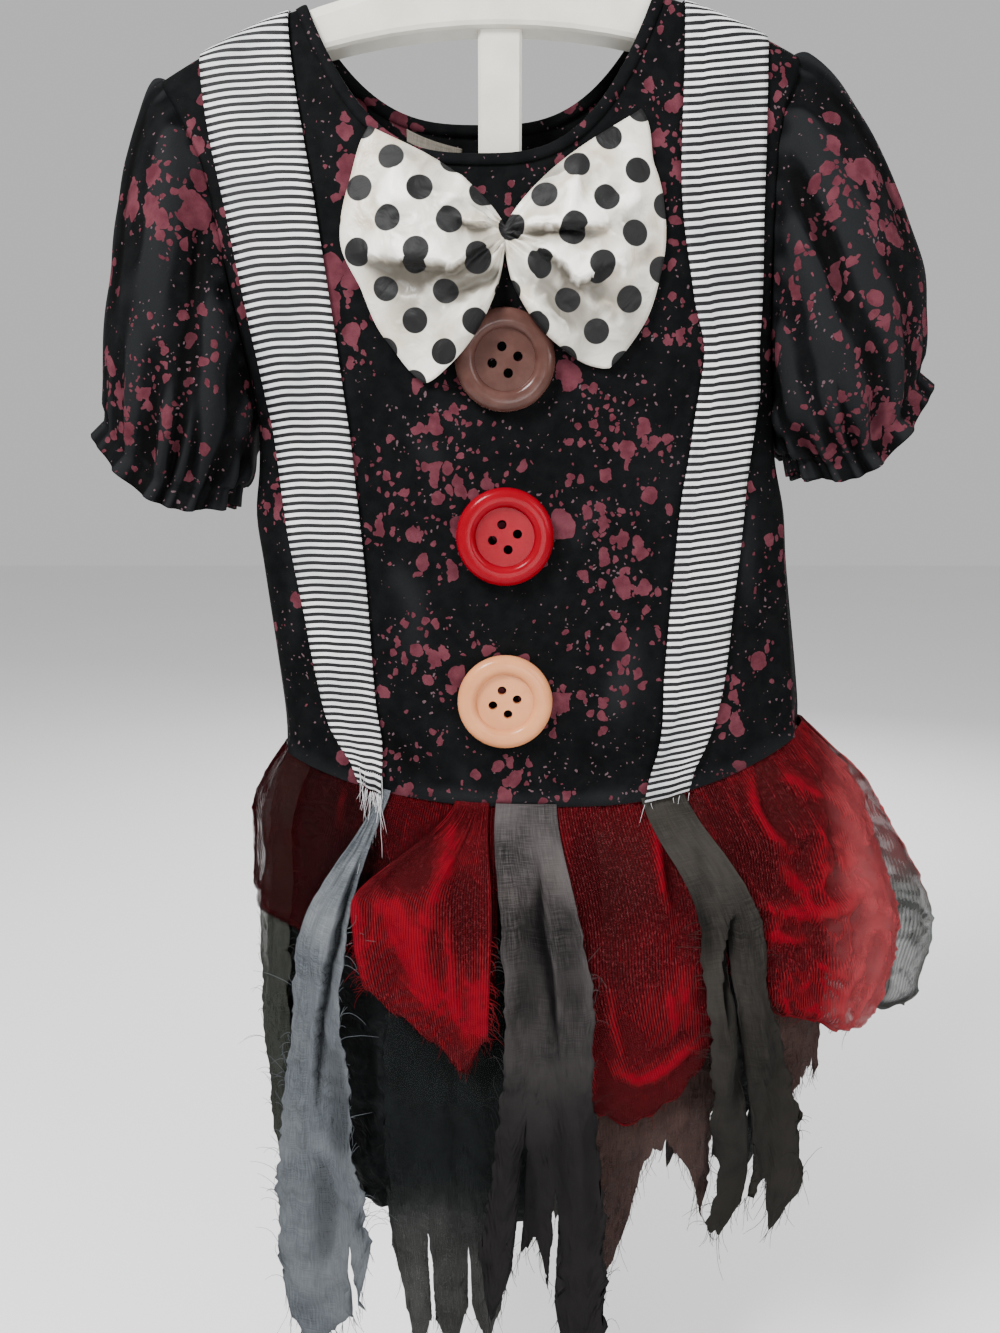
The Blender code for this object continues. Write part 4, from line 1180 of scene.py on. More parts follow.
def frayStrap(name, points):
    # loose threads at the front end of the strap, most of them at its inner corner on the left one
    draw = random.Random(len(name) * 7)
    roots = []
    count, lengths = straps["threads"][name]
    for _ in range(count):
        across = draw.random() ** 0.4 if name == "strap_left" else draw.random()
        column = min(len(points) - 1, int(across * len(points)))
        row = draw.choice((0, 0, 0, 0, 1))
        spot = points[column, row] + (0, -0.8, -1)
        roots.append((spot, np.array((draw.uniform(-0.5, 0.25), draw.uniform(-0.3, 0), -1))))
    threadPiece("frayedEnd_" + name, roots, woven["whiteThread"], lengths, len(name), 0.4)


def makeStraps():
    for name, stretch in (("strap_left", 1), ("strap_right", 3)):
        lines = [(stretch, share) for share in np.linspace(0, 1, straps["columns"])]
        front = bodicePoints(lines, "front", straps["lift"])[:, ::-1]
        back = bodicePoints(lines, "back", straps["lift"])
        front[:, 0] += (front[:, 1] - front[:, 0]) * straps["end"]
        front[:, -1, 1] = 0
        much, towards, high = straps["pinch"][name]
        low = smooth((front[:, :1, 2] + high - front[..., 2]) / high)
        middle = mix(front[:1, :, 0], front[-1:, :, 0], towards)
        front[..., 0] = mix(front[..., 0], middle, much * low)
        relief, _, _ = foldRelief(straps["folds"][name], front[..., 0], front[..., 2])
        pleats = np.cos(np.linspace(0, 1, straps["columns"]) * 4 * pi)[:, None]
        pleats = pleats * low * straps["pleats"] * much
        front[..., 1] -= np.maximum(-0.8, relief) + 0.8 + pleats + 0.8 * low
        points = np.concatenate([front, back[:, 1:]], axis=1)
        shoulder = points[:, front.shape[1] - 1, 2:3]
        slip = 2 * (shoulder.mean() - shoulder) * smooth((shoulder - points[..., 2]) / 70)
        slip[:, :front.shape[1]] = 0  # only over the shoulder and behind, to keep the stripes level
        piece = gridMesh("ribbon_" + name, points, size=(0.045, 0.92), slip=slip)
        finishPiece(piece, stripedRibbon, (name,), straps["wall"])
        frayStrap(name, points)
        cutSheet(points)


# the puffed sleeves

sleeveRow = namedtuple("sleeveRow", "name side cuffX cuffZ tilt cuffHalf sag cap puff")
sleeves = {
    "wall": 0.9,
    "rows": (
        sleeveRow("sleeve_left", "left", -192, -311, 27, 42, 18, 25, 28),
        sleeveRow("sleeve_right", "right", 205, -288, 33, 43, 24, 20, 54),
    ),
    "underarm": -294.0,
    "cuffDepth": 28.0,
    "frill": 11.0,  # length of the cuff below its elastic
    "frillFlare": 2.5,
    "cuffWaves": 15,
    "capWaves": 8,
    "capHeight": 4.2,
    "foldDepth": 1.45,
    "columns": 210,
    # places are degrees round the sleeve from the shoulder through the front, and how far down it, of 180
    "folds": {
        "left": (
            fold(((40, 10), (60, 60), (70, 130)), 11, 3.2),
            fold(((75, 20), (95, 70), (90, 140)), 10, -2.6),
            fold(((110, 15), (112, 70), (120, 150)), 11, 2.8),
            fold(((150, 20), (148, 60), (140, 120)), 9, 2.2),
            fold(((20, 20), (24, 70), (34, 150)), 9, -2.2),
            fold(((250, 10), (256, 70), (262, 150)), 12, 2.8),
            fold(((300, 15), (300, 80), (292, 160)), 11, 3.0),
            fold(((340, 10), (330, 70), (334, 140)), 9, -2.4),
            fold(((200, 20), (206, 70), (200, 120)), 11, 2.2),
        ),
        "right": (
            fold(((44, 12), (58, 60), (66, 140)), 11, 3.2),
            fold(((84, 16), (90, 80), (98, 150)), 10, 2.6),
            fold(((66, 20), (76, 70), (80, 120)), 7, -2.4),
            fold(((124, 14), (122, 60), (130, 140)), 11, 2.8),
            fold(((160, 20), (156, 60), (150, 130)), 9, 2.2),
            fold(((24, 20), (26, 80), (36, 150)), 9, -2.2),
            fold(((244, 12), (250, 80), (258, 150)), 12, 2.8),
            fold(((290, 14), (296, 80), (290, 160)), 11, 2.8),
            fold(((334, 12), (326, 60), (332, 150)), 10, -2.4),
            fold(((206, 20), (200, 70), (208, 130)), 11, 2.0),
        ),
    },
}


def sleevePoints(sleeve, turn, along):
    # turn is 0 at the shoulder, 90 in front and 180 under the arm; along is 1 at the elastic
    out = -1 if sleeve.side == "left" else 1
    tilt = radians(sleeve.tilt)
    across = np.array((out * cos(tilt), 0, sin(tilt)))
    axis = np.array((out * sin(tilt), 0, -cos(tilt)))
    angle = np.radians(turn)
    co, si = np.cos(angle)[..., None], np.sin(angle)[..., None]
    ring = across * co * sleeve.cuffHalf - np.array((0, 1, 0)) * si * sleeves["cuffDepth"]
    cuff = np.array((sleeve.cuffX, 0, sleeve.cuffZ)) - np.array((0, 0, 1)) * sleeve.sag * si ** 2 + ring
    z = mix(bodice["tipHeight"][sleeve.side], sleeves["underarm"], (1 - np.cos(angle)) / 2)
    x = bodyCurves[sleeve.side](z)
    front, back = bodyDepth(x, z, "front"), bodyDepth(x, z, "back")
    tuck = smooth((np.cos(angle) + 0.2) / 0.5)  # its top edge lies inside the bodice
    y = np.where(turn <= 180, -front, back) * mix(1, 0.8, tuck)
    start = np.stack([x + out * mix(1.0, -3.2, tuck), y, z], -1)
    reach = np.linalg.norm(cuff - start, axis=-1, keepdims=True)
    outer = (1 + co) / 2
    first = start + np.concatenate([out * reach * sleeve.cap / 187, -si * 16, 8 * outer], -1)
    ringWay = ring / np.linalg.norm(ring, axis=-1, keepdims=True)
    second = cuff - axis * reach * 0.38 + ringWay * mix(7, sleeve.puff, outer)
    second[..., 1] -= si[..., 0] * 12
    share = np.minimum(1, along)[..., None]
    point = start * (1 - share) ** 3 + first * 3 * share * (1 - share) ** 2
    point = point + second * 3 * share ** 2 * (1 - share) + cuff * share ** 3
    over = np.maximum(0, along - 1)[..., None] * 10
    point = point + (axis * sleeves["frill"] + ringWay * sleeves["frillFlare"]) * over
    along = along[..., None]
    uneven = angle + 0.16 * np.sin(3 * angle + 1) + 0.07 * np.sin(7 * angle)
    cap = np.sin(uneven * sleeves["capWaves"])[..., None] * np.maximum(0, outer - 0.25) * sleeves["capHeight"]
    cap = cap * smooth(along / 0.12) * (1 - smooth(along / 0.5))
    pull = np.where(along < 0.97, 3.8 * smooth((along - 0.55) / 0.36), 1.6 + 18 * np.maximum(0, along - 1))
    sway = 0.75 + 0.35 * np.sin(5 * angle + 1)
    wave = (np.sin(uneven * sleeves["cuffWaves"]) * sway)[..., None] * pull
    away = np.concatenate([0.3 * out * outer, -si, co], -1)
    away = away / np.linalg.norm(away, axis=-1, keepdims=True)
    return point + away * cap + ringWay * wave


def makeSleeves():
    count = sleeves["columns"]
    for sleeve in sleeves["rows"]:
        alongs = np.concatenate([np.linspace(0, 0.97, 62), np.linspace(0.978, 1.1, 10)])
        turn, along = spread((np.arange(count) + 0.5) * 360 / count, alongs)
        points = sleevePoints(sleeve, turn, along)
        normals = ringNormals(points)
        centre = points.mean(axis=(0, 1))
        if ((points - centre) * normals).sum() < 0:
            normals = -normals
        relief, _, _ = foldRelief(sleeves["folds"][sleeve.side], turn, along * 180)
        relief = sleeves["foldDepth"] * relief
        fine = np.sin(np.radians(turn) * 31 + 1.7 * np.sin(np.radians(turn) * 3)) * 0.5
        fine = fine * (smooth(along / 0.05) * (1 - smooth(along / 0.3)) + smooth((along - 0.8) / 0.15))
        relief = relief * smooth(along / 0.1) * smooth((0.95 - along) / 0.15)
        soft = 1.6 * ripple(points, 30, 11) * smooth(along / 0.2) * smooth((1 - along) / 0.1)
        relief = relief + soft + fine
        points = points + normals * relief[..., None]
        # painted light and shade from the folds and gathers: lighter where raised, darker in hollows
        ridge = np.clip(0.5 + relief / 9 + ringRidge(points, normals) / 3.2, 0, 1)
        marks = {"splash": splashMark(points), "ridge": ridge}
        piece = gridMesh("puff_" + sleeve.name, points, ring=True, marks=marks, size=(0.42, 0.19))
        finishPiece(piece, blackCloth, (sleeve.name,), sleeves["wall"])
        cutSheet(points, ring=True)


# the bow: each wing is a fan of rays from the pinch, from its top edge to its bottom edge

wingRow = namedtuple("wingRow", "side top topFlare bottom bottomFlare reaches")
bow = {
    "x": 2.6,
    "z": -198.7,
    "pinchHalf": 5.0,
    "foldDepth": 1.9,
    "gatherDepth": 1.5,
    "lift": 1.7,
    "overButton": 10.5,  # how far its back is lifted over the edge of the top button
    "fill": 0.3,
    "columns": 48,
    "rows": 70,
    "wings": {
        "left": wingRow(-1, 38, 24, -60, -27, (91, 87, 88, 82, 84, 88)),
        "right": wingRow(1, 42, 20, -50, -37, (97, 87, 86, 86, 88, 89)),
    },
    "creases": (
        fold(((2, -201), (-12, -209), (-24, -218), (-32, -216), (-49, -215), (-68, -212),
                (-80, -211)), 13, 6, 0, -1),
        fold(((0, -194), (-16, -196), (-23, -192)), 6, 3, 0, -1),
        fold(((-17, -177), (-28, -185), (-32, -188)), 3, 2),
        fold(((3, -214), (-5, -221), (-22, -229), (-32, -229)), 5, -2.5),
        fold(((-65, -212), (-50, -224), (-39, -225)), 7, -2),
        fold(((-52, -160), (-54, -179), (-47, -193)), 8, 1.5),
        fold(((6, -201), (16, -197), (26, -198), (38, -197), (49, -198), (61, -194)), 10, 4.5, 0, 1),
        fold(((11, -202), (23, -210), (35, -218), (39, -224), (47, -223), (54, -218),
                (71, -214)), 11, 5, 0, 1),
        fold(((43, -160), (40, -172), (38, -183), (34, -195)), 4, 2.5),
        fold(((55, -182), (61, -178), (66, -177)), 3, -1.5),
        fold(((16, -214), (29, -233), (48, -248)), 6, -2),
        fold(((78, -179), (65, -186), (52, -189)), 4, 1.5),
    ),
}


def bowRest(x, z):
    # the depth at which the bow's back lies: on the bodice, and over the edge of the top button
    top = buttons["places"][0]
    away = np.hypot(x - top.x, z - top.z)
    over = bow["overButton"] * (1 - smooth((away - buttons["radius"] - 1) / 16))
    return bodyDepth(x, z, "front") + bow["lift"] + over


def bowPoints(side, out, across, back):
    wing = bow["wings"][side]
    top = wing.top + wing.topFlare * (1 - out) ** 1.3
    bottom = wing.bottom + wing.bottomFlare * (1 - out) ** 0.8
    angle = np.radians(mix(top, bottom, across))
    reaches = np.array(wing.reaches, float)
    placeIn = across * (len(reaches) - 1)
    low = np.minimum(placeIn.astype(int), len(reaches) - 2)
    reach = mix(reaches[low], reaches[low + 1], smooth(placeIn - low)) * out
    x = bow["x"] + wing.side * reach * np.cos(angle)
    z = bow["z"] + reach * np.sin(angle) + bow["pinchHalf"] * (1 - 2 * across) * (1 - out) ** 2
    body = np.sqrt(np.maximum(0, np.sin(pi * across)))
    thick = 2.2 + (3.5 * (1 - out) + 12 * np.sin(pi * out ** 0.85)) * body
    if not back:
        relief, _, _ = foldRelief(bow["creases"], x, z)
        gathers = np.sin(across * 31 + 2.2 * np.sin(across * 9 + wing.side))
        gathers = gathers * (1 - smooth(out / 0.42)) * smooth(out / 0.06)
        relief = bow["foldDepth"] * relief + bow["gatherDepth"] * gathers
        thick = np.maximum(1.6, thick + relief * smooth(np.minimum(across, 1 - across) / 0.06))
    depth = bowRest(x, z) + (0 if back else thick)
    return np.stack([x, -depth, z], -1)


def makeBow():
    halves = {}
    for back in (False, True):
        parts = []
        reach = np.linspace(0, 1, bow["columns"])
        for side, outs in (("left", reach[::-1]), ("right", reach[1:])):
            out, across = spread(outs, np.linspace(0, 1, bow["rows"]))
            parts.append(bowPoints(side, out, across, back))
        halves[back] = np.concatenate(parts)
    front, back = halves[False], halves[True]
    uneven = 1.6 * ripple(front, 17, 21) + 0.9 * crumple(front, 13, 24) + 0.4 * ripple(front, 6, 22)
    uneven = uneven * smooth((back[..., 1] - front[..., 1] - 1.8) / 6)
    front = front + gridNormals(front) * uneven[..., None]
    x, z = front[..., 0], front[..., 2]
    relief, _, shade = foldRelief(bow["creases"], x, z)
    # painted light and shade from the creases and unevenness, lighter where raised and darker in hollows,
    # with some tone that differs at random
    ridge = np.clip(0.5 + relief / 5 + uneven / 3.4 + 0.45 * ripple(front, 32, 27), 0, 1)
    slide = np.zeros((*x.shape, 2))
    for crease in bow["creases"]:
        if crease.ledge and crease.width > 8:
            away, place, side = nearPath(smoothPath(crease.path), x, z)
            under = np.exp(-away / 22) * (side * crease.ledge < 0)
            under = under * smooth(np.minimum(place, 1 - place) / 0.35)
            slide[..., 0] += 1.0 * under
            slide[..., 1] += 3.2 * under
    piece = closeFrontBack("satinBow", front, back, slide, {"shade": shade, "ridge": ridge})
    finishPiece(piece, satin, ("bow",))


# the buttons, turned with a raised rim and four holes

buttonRow = namedtuple("buttonRow", "name x z")
buttons = {
    "radius": 27.5,
    "back": -37.1,
    "thick": 8.1,
    "rimWidth": 10.2,
    "recess": 3.5,
    "holeRadius": 2.6,
    "holeReach": 7.2,
    "holeTurn": 14,
    "bevels": (5.2, 3.0, 2.4),  # round the rim, into the recess and round the back
    "places": (
        buttonRow("button_brown", 2.7, -262.8),
        buttonRow("button_red", 2.8, -358.4),
        buttonRow("button_peach", 2.9, -453.4),
    ),
}


def makeButton(place):
    radius, deep, rim = buttons["radius"], buttons["thick"], buttons["rimWidth"]
    bpy.ops.object.select_all(action="DESELECT")
    bpy.ops.mesh.primitive_cylinder_add(vertices=96, radius=radius * mm, depth=deep * mm,
                                        location=(0, 0, deep / 2 * mm))
    piece = bpy.context.object
    piece.name = piece.data.name = "turned_" + place.name
    bpy.ops.object.transform_apply(location=True, rotation=True, scale=True)
    bpy.ops.object.mode_set(mode="EDIT")
    pick("faces", lambda face: face.normal.z > 0.9)
    bpy.ops.mesh.inset(thickness=rim * mm)
    bpy.ops.mesh.extrude_region_move(TRANSFORM_OT_translate={"value": (0, 0, -buttons["recess"] * mm)})
    bpy.ops.transform.resize(value=(0.95, 0.95, 1), center_override=(0, 0, 0))
    bpy.ops.mesh.inset(thickness=0.5 * mm)
    for ring, height, bevel in zip((radius, radius - rim, radius), (deep, deep, 0), buttons["bevels"]):
        pick("edges", lambda edge: onCircle(edge, ring, height))
        bpy.ops.mesh.bevel(offset=bevel * mm, segments=8, affect="EDGES")
    bpy.ops.object.mode_set(mode="OBJECT")
    holes = []
    for index in range(4):
        angle = radians(buttons["holeTurn"] + 90 * index)
        bpy.ops.mesh.primitive_cylinder_add(
            vertices=28, radius=buttons["holeRadius"] * mm, depth=30 * mm,
            location=(buttons["holeReach"] * cos(angle) * mm, buttons["holeReach"] * sin(angle) * mm, 0))
        holes.append(bpy.context.object)
    bpy.context.view_layer.objects.active = piece
    for hole in holes:
        cut = piece.modifiers.new("thread hole", "BOOLEAN")
        cut.object = hole
        bpy.ops.object.modifier_apply(modifier=cut.name)
        bpy.data.objects.remove(hole)
    bpy.ops.object.select_all(action="DESELECT")
    piece.select_set(True)
    piece.rotation_euler = (radians(90), 0, 0)
    piece.location = (place.x * mm, buttons["back"] * mm, place.z * mm)
    bpy.ops.object.transform_apply(location=True, rotation=True, scale=True)
    piece.data.materials.clear()
    piece.data.materials.append(moulded[place.name])
    bpy.ops.object.shade_smooth_by_angle(angle=radians(35))
    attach(piece, "root")
    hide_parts(place.name)


def makeButtons():
    for place in buttons["places"]:
        makeButton(place)


def dressHanger():
    bpy.data.objects["hanger"].material_slots[0].material = moulded["hanger"]


# the skirt: lining, gathered mesh overlays and torn strips

skirtColumns = ("drop", "centre", "half", "front", "back", "square")
layerRow = namedtuple("layerRow", "near far swell")
pieceRow = namedtuple("pieceRow", "name layer top mid low middle ends rips pleats flare", defaults=((), 0, 0))
skirt = {
    "wall": 0.7,
    "gather": 5.0,  # depth of the waves round the skirt, and how many there are
    "waves": 11,
    "ripHalf": 6.0,  # how far each edge of a rip falls aside at its lower end
    "liningCrinkle": 4.5,
    "liningGrid": (270, 70),
    # how much of each effect a mesh has, and a torn strip
    "mesh": {
        "folds": 1.0, "shade": 0.8, "gathers": 4.0, "uneven": 2.0, "creaseDense": 0.55,
        "creaseShade": 0, "pucker": 0.9, "puckerDense": 0.25, "ragged": 0,
    },
    "strip": {
        "folds": 2.1, "shade": 1.6, "gathers": 2.0, "uneven": 1.4, "creaseDense": 0,
        "creaseShade": 0.16, "pucker": 0.35, "puckerDense": 0, "ragged": 4,
    },
    "perDegree": 2.9,  # mm of cloth to each degree round the body
    "pieceGrid": {"front": (1.35, 2.3), "back": (1.8, 3.2)},  # mm between columns and between rows
    "threads": {"front": 170, "back": 80, "lengths": (4, 17), "fringeLengths": (3, 11), "fringeTop": -585},
    "sections": (  # rows as in skirtColumns
        (0, 26.5, 158.5, 36, 33, 2.6),
        (15, 27, 166, 39, 36, 2.4),
        (40, 29, 172.5, 45, 41, 2.2),
        (75, 29.5, 174, 51, 46, 2),
        (115, 28.5, 175.5, 55, 49, 2),
        (195, 26, 175, 58, 51, 2),
        (245, 24, 172, 57, 51, 2),
        (295, 20, 163, 55, 50, 2),
        (415, 12, 146, 50, 46, 2),
    ),
    "hem": (  # angle round the body from the middle of the front, and height
        (-90, -766), (-35, -778), (-5, -776), (15, -740), (32, -704),
        (60, -708), (90, -722), (140, -760), (200, -770), (270, -766),
    ),
    "layers": {
        "lining": layerRow(-2.4, 0, 0),
        "under": layerRow(-0.5, 5, 0),
        "overlay": layerRow(1.4, 10, 1),
        "top": layerRow(3.3, 17, 1),
    },
    "swells": (  # angle, and how far the overlays stand out there
        (-90, 1), (-45, 7), (0, 8), (25, 9), (45, 16),
        (62, 30), (78, 44), (95, 48), (120, 28), (150, 13),
        (200, 10), (270, 1),
    ),
    "puffs": (  # distance below the waist, and the share of the swell there
        (0, 0), (35, 0.22), (65, 0.48), (95, 0.8), (125, 0.96),
        (150, 0.88), (195, 0.55), (300, 0.25), (420, 0.1),
    ),
    # angles at the waist, at the middle height and at the lower edge; the middle height; heights along the
    # lower edge; rips as (which of those heights, how far up); number of pleats; how far the edge flares
    "pieces": (
        pieceRow("overlay_left", "overlay", (-90, -11), (-92, -11), (-92, -11), -560,
            (-588, -590, -594, -598, -602, -610, -618, -628, -634), (), 4),
        pieceRow("overlay_flap", "top", (-19.5, -12), (-39.5, -11), (-30, -11), -570,
            (-625, -641, -656, -677, -652), (), 2),
        pieceRow("overlay_centre", "overlay", (-9, 29), (-5, 32), (8, 35), -600,
            (-694, -712, -719, -714, -702, -684, -656), (), 3),
        pieceRow("overlay_right", "overlay", (31, 87), (34, 88), (36, 88), -590,
            (-612, -636, -648, -652, -662, -668, -660, -640), (), 4),
        pieceRow("overlay_back_right", "overlay", (89, 144), (90, 144), (90, 142), -590,
            (-640, -662, -668, -652, -648, -660, -668), (), 3),
        pieceRow("overlay_back", "overlay", (146, 207), (146, 208), (144, 208), -600,
            (-690, -704, -698, -684, -690, -706, -694), (), 3),
        pieceRow("overlay_back_left", "overlay", (209, 268), (210, 266), (210, 266), -580,
            (-634, -622, -612, -618, -626, -606, -592), (), 3),
        pieceRow("tatter_left", "top", (-37.5, -35), (-54, -41), (-69, -33), -600,
            (-846, -890, -872, -853, -792), ((3, -800),)),
        pieceRow("tatter_centre", "top", (-10.5, 2.5), (-8, 8), (-13, 18), -640,
            (-790, -842, -786, -775, -812, -872, -892, -850), ((2, -692), (4, -735))),
        pieceRow("tatter_right", "top", (21, 31), (29, 42), (37, 64), -590,
            (-780, -790, -765, -752, -796, -756), ((2, -575),)),
        pieceRow("tatter_back_left", "top", (236, 246), (234, 246), (228, 250), -640,
            (-800, -848, -790, -826, -860, -806), ((2, -690),)),
        pieceRow("tatter_back", "top", (180, 192), (178, 194), (172, 196), -640,
            (-810, -868, -828, -850, -884, -820), ((2, -720),)),
        pieceRow("tatter_back_right", "top", (126, 136), (124, 138), (120, 144), -620,
            (-770, -820, -760, -790, -834, -780), ((3, -660),)),
        pieceRow("sheer_right", "top", (91, 112), (91, 113), (91, 112), -590,
            (-676, -692, -692, -680, -650), (), 0, 34),
        pieceRow("under_far_left", "under", (-80, -62), (-88, -62), (-82, -56), -650,
            (-752, -786, -768, -742)),
        pieceRow("under_left", "under", (-32, -10), (-33, -7), (-31, -4), -700,
            (-800, -884, -856, -886, -842, -872, -810), ((2, -790), (4, -800))),
        pieceRow("under_centre", "under", (10, 35), (10, 36), (14, 42), -700,
            (-852, -814, -744, -726, -748, -787)),
        pieceRow("under_right", "under", (50, 78), (50, 79), (52, 82), -620,
            (-744, -706, -684, -700, -682), (), 0, 7),
        pieceRow("under_back_right", "under", (100, 124), (100, 125), (102, 126), -700,
            (-770, -812, -760, -786, -752)),
        pieceRow("under_back", "under", (154, 176), (152, 177), (152, 176), -700,
            (-800, -862, -826, -872, -814), ((2, -780),)),
        pieceRow("under_back_left", "under", (206, 232), (206, 231), (206, 230), -700,
            (-806, -850, -812, -838, -780)),
    ),
    "folds": {
        "overlay_left": (
            fold(((-92, -501), (-95, -520), (-94, -537)), 2.5, 2.2, 0.6),
            fold(((-69, -505), (-71, -523), (-70, -540)), 2.5, 2, 0.5),
            fold(((-121, -482), (-131, -505), (-131, -541)), 9, 4, 0.15),
            fold(((-113, -488), (-114, -517), (-113, -554)), 7, -3.5),
            fold(((-124, -556), (-118, -564), (-113, -570)), 5, 2.5, 0.5),
            fold(((-102, -494), (-104, -523), (-101, -554)), 6, 2.5, 0.1),
            fold(((-82, -502), (-82, -529), (-81, -554)), 6, -3),
            fold(((-26, -513), (-25, -535), (-28, -560)), 3, 2, 0.3),
            fold(((-14, -509), (-16, -535), (-14, -566)), 4, 2.2, 0.35),
            fold(((-45, -509), (-48, -529), (-58, -543)), 5, -2),
        ),
        "overlay_flap": (
            fold(((-24, -507), (-39, -523), (-59, -531), (-78, -545), (-85, -555)), 7, 4, 0.9),
            fold(((-23, -511), (-31, -543), (-40, -568), (-44, -598)), 7, 4, 0.9),
            fold(((-43, -524), (-52, -542), (-46, -562)), 9, -3.5, -0.9),
            fold(((-86, -556), (-83, -586), (-74, -624)), 4, 2.5, 0.7),
            fold(((-69, -557), (-57, -580), (-43, -614), (-35, -636)), 9, 3, 0.9),
            fold(((-73, -552), (-65, -562), (-62, -566)), 3, -2.5, -0.4),
            fold(((-30, -555), (-29, -592), (-26, -623), (-16, -655)), 3, 2.5, 0.8),
            fold(((-19, -543), (-21, -574), (-20, -595)), 7, -2.5, -0.6),
            fold(((-9, -580), (-8, -617), (-4, -643)), 6, 2, 0.6),
            fold(((-17, -601), (-13, -630), (-6, -652)), 9, 1.5, 0.7),
            fold(((-60, -592), (-62, -608), (-60, -622)), 6, -2, -0.3),
        ),
        "overlay_centre": (
            fold(((84, -502), (92, -534), (95, -560), (105, -590)), 3, 3.5, 0.9),
            fold(((67, -503), (72, -513), (79, -525)), 3, 2, 0.45),
            fold(((57, -528), (60, -564), (65, -601)), 17, -6, -0.15),
            fold(((37, -510), (40, -552), (45, -595)), 7, 3, 0.2),
            fold(((43, -598), (50, -649), (56, -692)), 3, 2.5, 0.9),
            fold(((63, -607), (67, -641), (76, -671)), 3, 2.5, 0.6),
            fold(((111, -601), (107, -627), (118, -649)), 9, 3, 0.7),
            fold(((98, -540), (104, -564), (107, -595)), 6, -3, 0.1),
            fold(((62, -659), (74, -672), (87, -676), (107, -659), (123, -649)), 4.5, 4, 1),
            fold(((82, -614), (88, -633), (95, -659)), 8, 2.5, 0.4),
            fold(((96, -617), (101, -633), (102, -653)), 3, 1.5, 0.7),
        ),
        "overlay_right": (
            fold(((140, -478), (150, -496), (151, -520), (171, -542), (180, -548)), 3.5, 4, 0.85),
            fold(((142, -475), (148, -510), (157, -532), (173, -558), (189, -565)), 4, 3.5, 0.8),
            fold(((161, -502), (176, -503), (186, -510), (192, -516)), 4, 4, 0.8),
            fold(((189, -516), (188, -542), (188, -571)), 5, 3.5, 0.7),
            fold(((140, -568), (165, -575), (188, -576), (210, -566), (224, -560)), 4.5, 5, 1),
            fold(((145, -583), (166, -591), (186, -593)), 4, 2.5, 0.9),
            fold(((127, -497), (131, -532), (143, -562)), 9, -5, -0.2),
            fold(((134, -488), (137, -520), (151, -550)), 6, 3, 0.2),
            fold(((169, -520), (174, -532), (179, -541)), 9, 3, 0.1),
            fold(((112, -497), (120, -526), (126, -550)), 7, 3, 0.25),
            fold(((165, -455), (179, -468), (192, -488)), 5, 3, 0.6),
            fold(((158, -471), (172, -485), (184, -497)), 7, -4),
            fold(((196, -503), (207, -520), (218, -541)), 5, 3, 0.5),
            fold(((190, -520), (203, -539), (217, -556)), 5, -2.5, 0.2),
            fold(((196, -544), (206, -550), (219, -553)), 3, 2, 0.6),
        ),
        "overlay_back_right": (
            fold(((205, -494), (214, -520), (235, -552)), 4, 2.5, 0.5),
            fold(((215, -539), (230, -565), (246, -578)), 4, 2.5, 0.5),
        ),
        "tatter_left": (
            fold(((-76, -530), (-89, -560), (-98, -596), (-105, -627), (-112, -679),
                    (-112, -725)), 4, 3.5, 0, -1),
            fold(((-99, -560), (-107, -596), (-111, -621)), 8, 2),
            fold(((-84, -596), (-89, -627), (-88, -659)), 7, 2),
            fold(((-98, -653), (-96, -698), (-100, -752)), 7, -3),
            fold(((-81, -672), (-88, -718), (-86, -780)), 6, 2.5),
            fold(((-113, -739), (-111, -787), (-116, -836)), 6, -2.5),
        ),
        "tatter_centre": (
            fold(((23, -535), (26, -577), (31, -608), (35, -658)), 5, 3.5, 0, 1),
            fold(((8, -512), (7, -547), (11, -589)), 9, 2),
            fold(((16, -559), (17, -595), (14, -645)), 7, -3),
            fold(((3, -595), (5, -645), (0, -690)), 6, 2.5),
            fold(((37, -559), (41, -595), (45, -645)), 6, -2),
            fold(((26, -671), (30, -717), (36, -764)), 6, 3),
            fold(((12, -697), (17, -751), (18, -806)), 6, -2.5),
            fold(((44, -684), (48, -737), (51, -792)), 5, 2.5),
        ),
        "tatter_right": (
            fold(((95, -501), (106, -530), (115, -560), (123, -596)), 6, 2.5),
            fold(((137, -571), (130, -587), (128, -612), (131, -647)), 5, 4, 0, -1),
            fold(((112, -548), (118, -578), (122, -609)), 6, -3),
            fold(((132, -609), (133, -653), (131, -705)), 5, 2.5),
            fold(((144, -596), (152, -640), (160, -692)), 4, 2.5),
            fold(((138, -621), (141, -659), (141, -698)), 4, -2.5),
        ),
    },
    # where the mesh lies closer (more than 0) or wider (less than 0) than elsewhere: x, z, radius, how much
    "patches": {
        "overlay_flap": (
            (0, 0, 900, 0.06), (-84, -572, 22, 0.4), (-58, -598, 24, 0.35),
            (-24, -632, 22, 0.3), (-54, -536, 20, -0.3), (-30, -575, 14, -0.2),
        ),
        "overlay_left": (
            (-45, -528, 32, 0.35), (-125, -530, 38, -0.7), (-120, -575, 30, -0.3),
        ),
        "overlay_centre": (
            (52, -545, 30, -0.15), (86, -656, 24, 0.2), (34, -655, 20, 0.25),
            (100, -600, 16, 0.2),
        ),
        "overlay_right": (
            (160, -518, 24, -0.4), (131, -506, 22, -0.4), (175, -638, 26, 0.2),
            (200, -626, 24, 0.6), (152, -548, 20, -0.5), (178, -566, 16, 0.25),
        ),
    },
    "fringes": {"overlay_flap": 260, "overlay_centre": 90, "overlay_right": 60},  # threads along the edges
    "crushed": {  # how creased a piece is, where it differs from the rest of its layer
        "tatter_left": 0.9, "tatter_centre": 0.7, "tatter_right": 0.7, "overlay_flap": 0.55,
